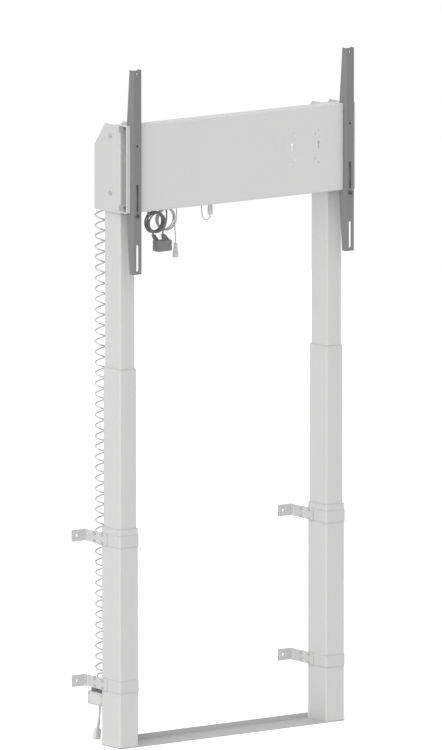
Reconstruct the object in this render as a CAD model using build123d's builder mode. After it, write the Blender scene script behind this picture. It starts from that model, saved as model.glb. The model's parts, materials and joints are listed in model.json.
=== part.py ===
from build123d import *
from math import cos, pi, sin, sqrt, tan
import os

os.makedirs("parts", exist_ok=True)

# The frame: X to the right along the crossbar, Y towards the wall, Z up from the floor.
# The origin is on the floor, midway between the two columns. The lift stands fully raised.

# Driving dimensions, in millimetres
column_spacing = 779.0
outer_width = 69.0
outer_depth = 98.0
tube_wall = 2.0
tube_corner = 4.5
stage_gap = 1.5
running_gap = 0.3
weld_gap = 0.1
thread_gap = 0.05
cut_overrun = 10.0
straight_share = 0.0005
outer_top = 677.0
stage_stroke = 480.0
stage_overlap = 177.0
stage_length = 671.0
head_top = 1915.0
collar_height = 3.0
pad_length = 40.0
pad_width = 30.0

# Base tray and column feet
tray_margin = 1.0
tray_sheet = 3.0
tray_lip = 15.0
foot_plate_thickness = 8.0
foot_screw_radius = 3.0
foot_screw_head_radius = 6.0
foot_screw_length = 9.0
foot_screw_spacing_x = 40.0
foot_screw_spacing_y = 66.0

# Drive inside the columns
support_tube_radius = 17.0
support_tube_wall = 2.5
fixed_nut_height = 25.0
nut_stop_gap = 2.3
carrier_gap = 1.5
carrier_wall = 2.5
carrier_height = 584.0
carrier_plate = 6.0
bearing_height = 16.0
bearing_ledge = 3.0
hollow_spindle_radius = 13.0
hollow_spindle_wall = 4.0
spindle_gap = 0.06
spindle_lead_in = 5.0
drive_spindle_radius = 8.0
drive_spindle_dip = 32.0
drive_nut_radius = 15.0
drive_nut_height = 26.0
motor_plate_height = 6.0
motor_plate_level = 1732.0
gearbox_side = 44.0
gearbox_height = 46.0
motor_radius = 21.0
motor_height = 98.0
cap_height = 4.0
cap_plug = 9.0

# Straps and wall brackets
strap_sheet = 2.5
strap_height = 36.0
strap_leg_behind = 37.0
strap_levels = {"lower": 191.0, "upper": 643.0}
bracket_sheet = 3.0
bracket_overlap = 34.0
wall_distance = 85.0
bracket_flange = 50.0
wall_hole_from_bend = 32.0
wall_hole_radius = 4.0
bracket_slot_setback = 13.0
bracket_slot_length = 22.0
bracket_slot_width = 6.0
strap_screw_radius = 3.0
strap_screw_head_radius = 5.0
strap_screw_head = 3.0
strap_screw_spacing = 24.0
tube_screw_inset = 13.0
bracket_screw_behind = 28.0
strap_nut_height = 5.0
strap_nut_radius = 5.6
hex_recess = 2.0
recess_share = 0.7

# Junction box and mains connector
box_depth = 74.0
box_bottom = 118.0
box_height = 40.0
box_wall = 2.5
box_cover = 2.5
box_boss_radius = 4.0
box_screw_radius = 1.5
box_screw_head_radius = 3.0
box_screw_head = 1.6
box_screw_length = 12.0
box_screw_inset = 6.5
socket_width = 28.0
socket_length = 28.0
socket_height = 10.0
socket_depth = 8.0
socket_rim = 4.0
socket_spacing = 33.0
mains_cord_diameter = 6.0
mains_drop = 49.0
mains_relief_height = 28.0
mains_relief_radius = 5.5
mains_plug_width = 18.0
mains_plug_depth = 14.0
mains_plug_height = 33.0
mains_exit_behind = 45.0
mains_rib_count = 6

# Curly cord behind the left column
curl_wire = 5.0
curl_radius = 14.5
curl_outwards = 11.5
curl_behind = 38.5
curl_foot = 212.0
curl_top = 1654.6
curl_turns = 44.25
curl_start_angle = 45.0 * pi / 180.0
curl_tail_radius = 12.0
curl_plug_radius = 9.0
curl_plug_tip_radius = 4.5
curl_plug_height = 26.0
curl_gland_radius = 7.0
curl_gland_height = 26.0
gland_tab_level = 1692.0
gland_tab_reach = 36.0
gland_tab_depth = 20.0

# Head brackets
cheek_sheet = 3.0
cheek_bottom = 1660.0
cheek_height = 270.0
cheek_front_gap = 8.0
cheek_rear_reach = 42.0
cheek_chamfer_y = 56.0
cheek_chamfer_z = 71.0
cheek_screw_drops = (35.0, 212.0)
cheek_screw_radius = 4.0
cheek_screw_head_radius = 6.5
cheek_screw_head = 4.0
cheek_screw_tip = 1.5
spacer_radius = 9.0
cable_hole_radius = 8.0
cable_hole_behind = 13.0
cable_hole_level = 1737.5

# Crossbar
crossbar_length = 860.0
crossbar_bottom = 1665.0
crossbar_height = 270.0
crossbar_depth = 43.0
crossbar_sheet = 2.5
crossbar_lip = 20.0
crossbar_bend = 4.0
crossbar_screw_radius = 3.0
crossbar_screw_head_radius = 5.0
crossbar_screw_head = 3.0
crossbar_screw_spacing = 40.0
crossbar_nut_height = 4.2
device_pattern_x = 243.0
device_pattern_level = 1811.0
device_large_spacing = 100.0
device_small_spacing = 75.0
device_hole_radius = 2.6
keyhole_radius = 5.0
keyhole_slot_width = 4.6
keyhole_level = 1822.0
keyhole_drop = 17.0

# Screen arms
arm_spacing = 800.0
arm_length = 630.0
arm_bottom = 1477.0
arm_width = 32.0
arm_sheet = 2.5
arm_standoff = 16.0
arm_end_depth = 19.0
arm_mid_depth = 34.0
arm_top_hole_drop = 11.5
arm_mid_hole_drop = 234.0
arm_hole_radius = 3.5
arm_slot_length = 83.0
arm_slot_width = 8.5
arm_slot_levels = (1527.5, 1713.0)
arm_relief_setback = 12.0
lock_screw_level = 1658.0
lock_screw_radius = 4.0
lock_screw_head_radius = 6.5
lock_screw_head = 4.0
clamp_height = 13.0
clamp_reach = 31.0
clamp_side_gap = 1.0

# Control box inside the crossbar
control_left = -330.0
control_length = 240.0
control_height = 88.0
control_depth = 34.0
control_wall = 2.5
control_cover = 2.5
control_screw_behind = 29.0
control_screw_inset = 30.0
control_screw_radius = 2.0
control_screw_head_radius = 4.0
control_screw_head = 2.0
control_boss_radius = 5.0
control_boss_height = 10.0
grommet_radius = 6.0
grommet_height = 4.0
lead_inlet_drop = 30.0
lead_inlet_x = -319.0

# Dark coiled power cord under the crossbar
power_wire = 5.0
power_loop_x = -277.0
power_loop_y = -30.0
power_loop_level = 1619.0
power_loop_radius = 33.0
power_loop_pitch = 5.8
power_layers = 4
power_exit_level = 1706.0
power_block_x = -251.0
power_block_level = 1527.0
power_block_width = 54.0
power_block_depth = 30.0
power_block_height = 34.0
power_block_chamfer = 6.0
sleeve_height = 18.0
sleeve_depth = 9.0
sleeve_corner = 3.0
coil_sleeve_shift = -17.0
coil_sleeve_lean = 11.0
coil_sleeve_foot = 16.0
coil_sleeve_end = 11.0
riser_sleeve_shift = 13.0
riser_sleeve_lean = 11.0
riser_sleeve_foot = 24.0
riser_sleeve_end = 12.0
riser_x = -236.0

# Light coiled signal cord under the crossbar
signal_wire = 3.5
signal_loop_x = -221.0
signal_loop_y = -6.0
signal_loop_level = 1620.0
signal_loop_radius = 35.0
signal_loop_pitch = 4.3
signal_layers = 4
signal_exit_level = 1712.0
signal_plug_bottom = 1497.0
signal_plug_height = 44.0
signal_plug_width = 14.0
signal_plug_top_width = 8.0
signal_plug_shift = 6.0

# Light loop and small connector under the crossbar
service_wire = 3.5
service_exit_x = -105.5
service_exit_level = 1706.0
service_socket_x = -90.6
service_socket_behind = 36.0
service_socket_width = 14.0
service_socket_depth = 10.0
service_socket_height = 36.0

# Values worked out from the driving dimensions
column_x = column_spacing / 2
sides = {"left": -1, "right": 1}
mid_width = outer_width - 2 * tube_wall - 2 * stage_gap
mid_depth = outer_depth - 2 * tube_wall - 2 * stage_gap
inner_width = mid_width - 2 * tube_wall - 2 * stage_gap
inner_depth = mid_depth - 2 * tube_wall - 2 * stage_gap
mid_bottom = outer_top - stage_overlap
mid_top = mid_bottom + stage_length
inner_bottom = mid_top - stage_overlap
pad_thickness = stage_gap - running_gap
inner_corner = tube_corner - tube_wall
tray_depth = outer_depth + 2 * tray_margin
strap_leg_reach = outer_depth / 2 + strap_leg_behind
bracket_front = outer_depth / 2 - bracket_overlap
wall_plane = outer_depth / 2 + wall_distance
tube_screw_y = outer_depth / 2 - tube_screw_inset
bracket_screw_y = outer_depth / 2 + bracket_screw_behind
curl_axis = (-column_x - curl_outwards, outer_depth / 2 + curl_behind)
cable_hole_y = outer_depth / 2 + cable_hole_behind
cheek_front = inner_depth / 2 + cheek_front_gap
cheek_rear = inner_depth / 2 + cheek_rear_reach
plate_front = -cheek_front - crossbar_depth
control_screw_y = plate_front + control_screw_behind
service_socket_y = plate_front + service_socket_behind
carrier_top = mid_bottom + carrier_plate + carrier_height
nut_bottom = carrier_top + running_gap - drive_nut_height
support_top = nut_bottom - stage_stroke - nut_stop_gap - fixed_nut_height
arm_front = plate_front - arm_standoff
crossbar_top = crossbar_bottom + crossbar_height
cheek_top = cheek_bottom + cheek_height
cheek_face = outer_width / 2
box_front = outer_depth / 2
box_top = box_bottom + box_height
socket_top = box_top + socket_height
curl_plug_top = socket_top + curl_plug_height
control_bottom = crossbar_bottom + crossbar_sheet + running_gap
control_front = plate_front + crossbar_sheet + 2 * running_gap
control_rear = control_front + control_depth


def level(x, y, z):
    """Plane that looks up, with its origin at a point."""
    return Plane(origin=(x, y, z), x_dir=(1, 0, 0), z_dir=(0, 0, 1))


def facing_front(x, y, z):
    """Plane that looks towards the viewer: sketch x is X and sketch y is Z."""
    return Plane(origin=(x, y, z), x_dir=(1, 0, 0), z_dir=(0, -1, 0))


def facing_side(x, y, z, sign=1):
    """Plane that looks along +X or -X: sketch x is +Y or -Y, and sketch y is Z."""
    return Plane(origin=(x, y, z), x_dir=(0, sign, 0), z_dir=(sign, 0, 0))


def add_tube(plane, width, depth, height, corner):
    """Rectangular tube with rounded corners, standing on a plane."""
    with BuildSketch(plane) as section:
        RectangleRounded(width, depth, corner)
        RectangleRounded(
            width - 2 * tube_wall, depth - 2 * tube_wall, corner - tube_wall, mode=Mode.SUBTRACT
        )
    extrude(section.sketch, amount=height)


def add_ring(plane, radius, bore, height):
    """Round ring standing on a plane."""
    with BuildSketch(plane) as section:
        Circle(radius)
        Circle(bore, mode=Mode.SUBTRACT)
    extrude(section.sketch, amount=height)


def add_screws(planes, radius, length, head_radius, head_height):
    """Screws whose heads stand out of the planes and whose shanks go in behind them."""
    with BuildSketch(*planes) as heads:
        Circle(head_radius)
    extrude(heads.sketch, amount=head_height)
    tops = [plane.offset(head_height) for plane in planes]
    with BuildSketch(*planes) as shanks:
        Circle(radius)
    extrude(shanks.sketch, amount=-length)
    with BuildSketch(*tops) as sockets:
        RegularPolygon(head_radius / 2, 6)
    extrude(sockets.sketch, amount=-min(hex_recess, head_height * recess_share), mode=Mode.SUBTRACT)


def add_nuts(planes, radius, screw_radius, height):
    """Hexagon nuts behind the planes."""
    with BuildSketch(*planes) as nuts:
        RegularPolygon(radius, 6)
        Circle(screw_radius + thread_gap, mode=Mode.SUBTRACT)
    extrude(nuts.sketch, amount=-height)


def add_holes(planes, radius, depth):
    """Round holes that go in behind the planes."""
    with BuildSketch(*planes) as holes:
        Circle(radius)
    extrude(holes.sketch, amount=-depth, mode=Mode.SUBTRACT)


def add_slots(planes, long_side, width, depth, turn=0):
    """Slots with round ends that go in behind the planes."""
    with BuildSketch(*planes) as slots:
        SlotOverall(long_side, width, rotation=turn)
    extrude(slots.sketch, amount=-depth, mode=Mode.SUBTRACT)


def bend_radii(points):
    """The arc for each corner of a route: 0.45 of its shorter run over tan of half the turn."""
    radii = []
    for before, corner, after in zip(points, points[1:], points[2:]):
        run_in = Vector(*corner) - Vector(*before)
        run_out = Vector(*after) - Vector(*corner)
        half_turn = run_in.get_angle(run_out) * pi / 360
        radii.append(0.45 * min(run_in.length, run_out.length) / tan(half_turn))
    return radii


def add_cord(name, points, diameter):
    """Round cord along straight runs joined by tangent arcs."""
    radii = bend_radii(points)
    with BuildLine() as route:
        FilletPolyline(*points, radius=radii)
    path = Wire(route.edges())
    with BuildSketch(Plane(origin=path @ 0, z_dir=path % 0)) as section:
        Circle(diameter / 2)
    sweep(section.sketch, path=path)
    print(f"{name}: length {path.length:.0f}, radii {[round(radius, 1) for radius in radii]}")
    return path.length


def add_biarc(start, start_way, end, end_way):
    """Two tangent arcs from one point and direction to another."""
    across = end - start
    both = start_way + end_way
    turn_term = 2 * (1 - start_way.dot(end_way))
    along = across.dot(both)
    if across.cross(start_way).length < straight_share * across.length:
        Line(start, end)
        return
    if turn_term < straight_share:
        reach = across.dot(across) / (2 * along)
    else:
        reach = (sqrt(along * along + turn_term * across.dot(across)) - along) / turn_term
    start_handle = start + start_way * reach
    end_handle = end - end_way * reach
    middle = (start_handle + end_handle) * 0.5
    TangentArc(start, middle, tangent=start_way)
    TangentArc(middle, end, tangent=(end_handle - start_handle).normalized())


def wind_direction(place, turns):
    """Direction of a winding at a number of turns."""
    step = 0.001
    return (place(turns + step) - place(turns - step)).normalized()


def add_winding(name, place, turns, start, start_way, end, end_way, diameter, steps_per_turn=2, lead_in=()):
    """One unbroken tube: a straight tail, a bend or two, a winding on arcs, and a straight tail."""
    steps = round(turns * steps_per_turn)
    marks = [turns * step / steps for step in range(steps + 1)]
    points = [place(mark) for mark in marks]
    ways = [wind_direction(place, mark) for mark in marks]
    tail_start = start + start_way * diameter
    tail_end = end - end_way * diameter
    with BuildLine() as route:
        Line(start, tail_start)
        for point, way in lead_in:
            add_biarc(tail_start, start_way, point, way)
            tail_start, start_way = point, way
        add_biarc(tail_start, start_way, points[0], ways[0])
        for step in range(steps):
            add_biarc(points[step], ways[step], points[step + 1], ways[step + 1])
        add_biarc(points[-1], ways[-1], tail_end, end_way)
        Line(tail_end, end)
    path = Wire(route.edges())
    with BuildSketch(Plane(origin=path @ 0, z_dir=path % 0)) as section:
        Circle(diameter / 2)
    sweep(section.sketch, path=path)
    samples = [place(turns * mark / 1200) for mark in range(1201)]
    apart = round(600 / turns)
    gap = min(
        (samples[i] - samples[j]).length
        for i in range(0, 1201, 3)
        for j in range(i + apart, min(i + 6 * apart, 1201))
    )
    print(f"{name}: length {path.length:.0f}, least gap to itself {gap - diameter:.2f}")
    return path.length


def climb(turns, layer_turns, layers):
    """Layers climbed after a number of turns: one in the half turn round each reversal."""
    height = 0.0
    for layer in range(1, layers):
        share = min(max((turns - layer * layer_turns + 0.25) * 2, 0.0), 1.0)
        height += share * share * (3 - 2 * share)
    return height


def column_plane(sign, z):
    """Level plane on a column's axis."""
    return level(sign * column_x, 0, z)


# Base tray: one bent sheet under both columns, its rear lip only between them
tray_length = column_spacing + outer_width
foot_screw_places = [
    (sign * column_x + dx * foot_screw_spacing_x / 2, dy * foot_screw_spacing_y / 2)
    for sign in sides.values()
    for dx in (-1, 1)
    for dy in (-1, 1)
]
with BuildPart() as base_tray:
    with BuildSketch(Plane.XY):
        Rectangle(tray_length, tray_depth)
    extrude(amount=tray_sheet)
    with BuildSketch(level(0, tray_depth / 2, tray_sheet)):
        Rectangle(
            column_spacing - outer_width - 2 * running_gap,
            tray_sheet,
            align=(Align.CENTER, Align.MAX),
        )
    extrude(amount=tray_lip)
    for place in foot_screw_places:
        with Locations(Plane(origin=(*place, 0), z_dir=(0, 0, -1))):
            CounterSinkHole(
                radius=foot_screw_radius + thread_gap,
                counter_sink_radius=foot_screw_head_radius + thread_gap,
                depth=tray_sheet,
                counter_sink_angle=90,
            )
base_tray.part.label = "base_tray"
export_step(base_tray.part, "parts/base_tray.step")

with BuildPart() as base_tray_screws:
    for place in foot_screw_places:
        with BuildSketch(Plane(origin=(*place, 0), x_dir=(1, 0, 0), z_dir=(0, -1, 0))):
            with BuildLine():
                Polyline(
                    (0, 0),
                    (foot_screw_head_radius, 0),
                    (foot_screw_radius, foot_screw_head_radius - foot_screw_radius),
                    (foot_screw_radius, foot_screw_length),
                    (0, foot_screw_length),
                    close=True,
                )
            make_face()
        revolve(axis=Axis((*place, 0), (0, 0, 1)))
base_tray_screws.part.label = "base_tray_screws"
export_step(base_tray_screws.part, "parts/base_tray_screws.step")

foot_top = tray_sheet + foot_plate_thickness
with BuildPart() as foot_plates:
    for sign in sides.values():
        with BuildSketch(column_plane(sign, tray_sheet)) as plate_face:
            RectangleRounded(
                outer_width - 2 * tube_wall - 2 * weld_gap,
                outer_depth - 2 * tube_wall - 2 * weld_gap,
                inner_corner,
            )
            with GridLocations(foot_screw_spacing_x, foot_screw_spacing_y, 2, 2):
                Circle(foot_screw_radius + thread_gap, mode=Mode.SUBTRACT)
        extrude(plate_face.sketch, amount=foot_plate_thickness)
foot_plates.part.label = "foot_plates"
export_step(foot_plates.part, "parts/foot_plates.step")

# Outer stage
for side, sign in sides.items():
    with BuildPart() as outer_tube:
        add_tube(
            column_plane(sign, tray_sheet), outer_width, outer_depth, outer_top - tray_sheet, tube_corner
        )
        for way in (-1, 1):
            holes = [
                facing_side(
                    sign * column_x + way * outer_width / 2,
                    tube_screw_y,
                    height + share * strap_screw_spacing / 2,
                    way,
                )
                for height in strap_levels.values()
                for share in (-1, 1)
            ]
            add_holes(holes, strap_screw_radius + thread_gap, tube_wall)
    outer_tube.part.label = f"outer_tube_{side}"
    export_step(outer_tube.part, f"parts/outer_tube_{side}.step")


def add_collar(plane, width, depth, hole_width, hole_depth):
    """Thin ring on a tube's top that closes the gap to the next tube."""
    with BuildSketch(plane) as section:
        RectangleRounded(width, depth, tube_corner)
        RectangleRounded(
            hole_width + 2 * running_gap,
            hole_depth + 2 * running_gap,
            tube_corner,
            mode=Mode.SUBTRACT,
        )
    extrude(section.sketch, amount=collar_height)


def add_pads(x, base_level, width, depth, outwards):
    """Four glide pads on a tube's faces: outside it, or inside it."""
    way = 1 if outwards else -1
    for sign in (-1, 1):
        with BuildSketch(level(x + sign * (width + way * pad_thickness) / 2, 0, base_level)) as face:
            Rectangle(pad_thickness, pad_width)
        extrude(face.sketch, amount=pad_length)
        with BuildSketch(level(x, sign * (depth + way * pad_thickness) / 2, base_level)) as face:
            Rectangle(pad_width, pad_thickness)
        extrude(face.sketch, amount=pad_length)


with BuildPart() as outer_glides:
    for sign in sides.values():
        add_collar(column_plane(sign, outer_top), outer_width, outer_depth, mid_width, mid_depth)
        add_pads(
            sign * column_x,
            outer_top - pad_length,
            outer_width - 2 * tube_wall,
            outer_depth - 2 * tube_wall,
            outwards=False,
        )
outer_glides.part.label = "outer_glides"
export_step(outer_glides.part, "parts/outer_glides.step")

# Fixed part of the drive: a support tube on each foot plate with a nut on its top
with BuildPart() as support_tubes:
    for sign in sides.values():
        add_ring(
            column_plane(sign, foot_top),
            support_tube_radius,
            support_tube_radius - support_tube_wall,
            support_top - foot_top,
        )
support_tubes.part.label = "support_tubes"
export_step(support_tubes.part, "parts/support_tubes.step")

with BuildPart() as fixed_nuts:
    for sign in sides.values():
        add_ring(
            column_plane(sign, support_top),
            support_tube_radius,
            hollow_spindle_radius + spindle_gap,
            fixed_nut_height,
        )
fixed_nuts.part.label = "fixed_nuts"
export_step(fixed_nuts.part, "parts/fixed_nuts.step")

# Straps round the outer tubes and the wall brackets on both of their legs
strap_outer = outer_width / 2 + strap_sheet
for side, sign in sides.items():
    with BuildPart() as column_straps:
        for height in strap_levels.values():
            foot = height - strap_height / 2
            with BuildSketch(level(sign * column_x, 0, foot)) as strap_face:
                RectangleRounded(
                    2 * strap_outer, outer_depth + 2 * strap_sheet, tube_corner + strap_sheet
                )
                with Locations((0, outer_depth / 2 - tube_corner)):
                    Rectangle(
                        2 * strap_outer,
                        strap_leg_reach - outer_depth / 2 + tube_corner,
                        align=(Align.CENTER, Align.MIN),
                    )
                RectangleRounded(outer_width, outer_depth, tube_corner, mode=Mode.SUBTRACT)
                with Locations((0, outer_depth / 2 - tube_corner)):
                    Rectangle(
                        outer_width,
                        strap_leg_reach,
                        align=(Align.CENTER, Align.MIN),
                        mode=Mode.SUBTRACT,
                    )
            extrude(strap_face.sketch, amount=strap_height)
            for way in (-1, 1):
                holes = [
                    facing_side(
                        sign * column_x + way * strap_outer,
                        y,
                        height + share * strap_screw_spacing / 2,
                        way,
                    )
                    for y in (tube_screw_y, bracket_screw_y)
                    for share in (-1, 1)
                ]
                add_holes(holes, strap_screw_radius + thread_gap, strap_sheet)
    column_straps.part.label = f"column_straps_{side}"
    export_step(column_straps.part, f"parts/column_straps_{side}.step")

for side, sign in sides.items():
    with BuildPart() as wall_brackets:
        for height in strap_levels.values():
            for way in (-1, 1):
                x = sign * column_x + way * strap_outer
                with BuildSketch(level(x, 0, height - strap_height / 2)) as angle:
                    with Locations((way * bracket_sheet / 2, bracket_front)):
                        Rectangle(
                            bracket_sheet, wall_plane - bracket_front, align=(Align.CENTER, Align.MIN)
                        )
                    with Locations((way * bracket_flange / 2, wall_plane)):
                        Rectangle(bracket_flange, bracket_sheet, align=(Align.CENTER, Align.MAX))
                    fillet(
                        angle.vertices().filter_by(
                            lambda corner: abs(corner.Y - wall_plane) < tube_wall
                            and abs(corner.X) < bracket_sheet / 2
                        ),
                        radius=bracket_sheet,
                    )
                extrude(angle.sketch, amount=strap_height)
                outside = x + way * bracket_sheet
                holes = [
                    facing_side(outside, y, height + share * strap_screw_spacing / 2, way)
                    for y in (tube_screw_y, bracket_screw_y)
                    for share in (-1, 1)
                ]
                add_holes(holes, strap_screw_radius + thread_gap, bracket_sheet)
                add_slots(
                    [facing_side(outside, wall_plane - bracket_slot_setback, height, way)],
                    bracket_slot_length,
                    bracket_slot_width,
                    bracket_sheet,
                    turn=90,
                )
                hole_x = x + way * wall_hole_from_bend
                add_holes(
                    [facing_front(hole_x, wall_plane - bracket_sheet, height)],
                    wall_hole_radius,
                    bracket_sheet,
                )
    wall_brackets.part.label = f"wall_brackets_{side}"
    export_step(wall_brackets.part, f"parts/wall_brackets_{side}.step")

with BuildPart() as strap_screws:
    for sign in sides.values():
        for way in (-1, 1):
            outside = sign * column_x + way * (strap_outer + bracket_sheet)
            for y, length in (
                (tube_screw_y, bracket_sheet + strap_sheet + tube_wall),
                (bracket_screw_y, bracket_sheet + strap_sheet + strap_nut_height),
            ):
                planes = [
                    facing_side(outside, y, height + share * strap_screw_spacing / 2, way)
                    for height in strap_levels.values()
                    for share in (-1, 1)
                ]
                add_screws(
                    planes, strap_screw_radius, length, strap_screw_head_radius, strap_screw_head
                )
            inside = sign * column_x + way * outer_width / 2
            planes = [
                facing_side(inside, bracket_screw_y, height + share * strap_screw_spacing / 2, way)
                for height in strap_levels.values()
                for share in (-1, 1)
            ]
            add_nuts(planes, strap_nut_radius, strap_screw_radius, strap_nut_height)
strap_screws.part.label = "strap_screws"
export_step(strap_screws.part, "parts/strap_screws.step")

# Junction box on the back of the left column
box_x = -column_x
box_middle_y = box_front + box_depth / 2
box_left = box_x - outer_width / 2
cover_screw_places = [
    (box_middle_y + dy * (box_depth / 2 - box_screw_inset), box_bottom + box_height / 2 + dz)
    for dy in (-1, 1)
    for dz in (box_screw_inset - box_height / 2, box_height / 2 - box_screw_inset)
]
curl_start = Vector(cos(curl_start_angle), sin(curl_start_angle)) * curl_radius
curl_start_way = Vector(sin(curl_start_angle), -cos(curl_start_angle))
curl_plug_place = Vector(*curl_axis) + curl_start - curl_start_way * curl_tail_radius
mains_exit = (-column_x - mains_plug_width / 2, outer_depth / 2 + mains_exit_behind)
with BuildPart() as junction_box:
    with BuildSketch(level(box_x, box_middle_y, box_bottom)):
        Rectangle(outer_width, box_depth)
    extrude(amount=box_height)
    fillet(junction_box.edges().filter_by(Axis.Z).sort_by(Axis.Y)[-2:], radius=box_wall)
    with BuildSketch(facing_side(box_left, box_middle_y, box_bottom + box_height / 2, -1)):
        Rectangle(box_depth - 2 * box_wall, box_height - 2 * box_wall)
    extrude(amount=-(outer_width - box_wall), mode=Mode.SUBTRACT)
    bosses = [facing_side(box_left + box_cover, y, z, -1) for y, z in cover_screw_places]
    with BuildSketch(*bosses) as boss_faces:
        Circle(box_boss_radius)
        Circle(box_screw_radius + thread_gap, mode=Mode.SUBTRACT)
    extrude(boss_faces.sketch, amount=-(outer_width - box_wall - box_cover))
    add_holes(
        [level(*mains_exit, box_bottom + box_wall)], mains_cord_diameter / 2 + running_gap, box_wall
    )
    for shift in (0, -socket_spacing):
        with BuildSketch(level(curl_plug_place.X, curl_plug_place.Y + shift, box_top)):
            Rectangle(socket_width - 2 * socket_rim, socket_length - 2 * socket_rim)
        extrude(amount=-box_wall, mode=Mode.SUBTRACT)
junction_box.part.label = "junction_box"
export_step(junction_box.part, "parts/junction_box.step")

with BuildPart() as junction_box_cover:
    with BuildSketch(facing_side(box_left, box_middle_y, box_bottom + box_height / 2, -1)):
        RectangleRounded(
            box_depth - 2 * box_wall - 2 * running_gap,
            box_height - 2 * box_wall - 2 * running_gap,
            box_wall,
        )
    extrude(amount=-box_cover + running_gap)
    add_holes(
        [facing_side(box_left, y, z, -1) for y, z in cover_screw_places],
        box_screw_radius + thread_gap,
        box_cover,
    )
junction_box_cover.part.label = "junction_box_cover"
export_step(junction_box_cover.part, "parts/junction_box_cover.step")

with BuildPart() as junction_box_screws:
    add_screws(
        [facing_side(box_left, y, z, -1) for y, z in cover_screw_places],
        box_screw_radius,
        box_screw_length,
        box_screw_head_radius,
        box_screw_head,
    )
junction_box_screws.part.label = "junction_box_screws"
export_step(junction_box_screws.part, "parts/junction_box_screws.step")

with BuildPart() as mains_sockets:
    for shift in (0, -socket_spacing):
        with BuildSketch(level(curl_plug_place.X, curl_plug_place.Y + shift, box_top)) as socket_face:
            RectangleRounded(socket_width, socket_length, box_wall)
        extrude(socket_face.sketch, amount=socket_height)
    with BuildSketch(level(curl_plug_place.X, curl_plug_place.Y - socket_spacing, socket_top)):
        RectangleRounded(socket_width - 2 * socket_rim, socket_length - 2 * socket_rim, box_wall)
    extrude(amount=-socket_depth, mode=Mode.SUBTRACT)
mains_sockets.part.label = "mains_sockets"
export_step(mains_sockets.part, "parts/mains_sockets.step")

# Short mains lead that hangs from the box, with a ribbed relief and a connector
mains_relief_top = box_bottom - mains_drop
mains_route = [
    (*mains_exit, box_bottom + box_wall),
    (*mains_exit, box_bottom - mains_relief_height),
    (mains_exit[0] - socket_rim / 2, mains_exit[1] + socket_rim / 2, mains_relief_top),
]
with BuildPart() as mains_lead:
    add_cord("mains lead", mains_route, mains_cord_diameter)
mains_lead.part.label = "mains_lead"
export_step(mains_lead.part, "parts/mains_lead.step")

plug_way = (Vector(*mains_route[2]) - Vector(*mains_route[1])).normalized()
relief_start = Vector(*mains_route[2])
plug_start = relief_start + plug_way * mains_relief_height
with BuildPart() as mains_plug:
    rib_step = mains_relief_height / mains_rib_count
    for rib in range(mains_rib_count):
        for share, radius in ((0, mains_relief_radius), (0.5, mains_relief_radius - tube_wall / 2)):
            place = relief_start + plug_way * (rib + share) * rib_step
            with BuildSketch(Plane(origin=place, z_dir=plug_way)) as disc:
                Circle(radius)
            extrude(disc.sketch, amount=rib_step / 2)
    with BuildSketch(Plane(origin=plug_start, x_dir=(1, 0, 0), z_dir=plug_way)) as plug_top:
        RectangleRounded(mains_plug_width, mains_plug_depth, mains_relief_radius)
    with BuildSketch(
        Plane(origin=plug_start + plug_way * mains_plug_height, x_dir=(1, 0, 0), z_dir=plug_way)
    ) as plug_end:
        RectangleRounded(
            mains_plug_width + socket_rim, mains_plug_depth + socket_rim / 2, mains_relief_radius
        )
    loft([plug_top.sketch, plug_end.sketch])
mains_plug.part.label = "mains_plug"
export_step(mains_plug.part, "parts/mains_plug.step")

# Curly cord: plug in the box, helix behind the left column, tail into the gland on the head
curl_end_angle = curl_start_angle - 2 * pi * curl_turns
curl_end_way = Vector(sin(curl_end_angle), -cos(curl_end_angle))
curl_end = Vector(cos(curl_end_angle), sin(curl_end_angle)) * curl_radius
gland_place = Vector(*curl_axis) + curl_end + curl_end_way * curl_tail_radius
gland_bottom = curl_top + curl_tail_radius + 2 * curl_wire


def curl_point(turns):
    """Point of the curly cord's centre line after a number of turns."""
    angle = curl_start_angle - 2 * pi * turns
    return Vector(
        curl_axis[0] + curl_radius * cos(angle),
        curl_axis[1] + curl_radius * sin(angle),
        curl_foot + (curl_top - curl_foot) * turns / curl_turns,
    )


with BuildPart() as curly_cord:
    add_winding(
        "curly cord",
        curl_point,
        curl_turns,
        Vector(curl_plug_place.X, curl_plug_place.Y, curl_plug_top),
        Vector(0, 0, 1),
        Vector(gland_place.X, gland_place.Y, gland_bottom),
        Vector(0, 0, 1),
        curl_wire,
    )
curly_cord.part.label = "curly_cord"
export_step(curly_cord.part, "parts/curly_cord.step")

with BuildPart() as curly_cord_plug:
    with BuildSketch(level(curl_plug_place.X, curl_plug_place.Y, socket_top)):
        Circle(curl_plug_radius)
    with BuildSketch(level(curl_plug_place.X, curl_plug_place.Y, curl_plug_top)):
        Circle(curl_plug_tip_radius)
    loft()
curly_cord_plug.part.label = "curly_cord_plug"
export_step(curly_cord_plug.part, "parts/curly_cord_plug.step")

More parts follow.
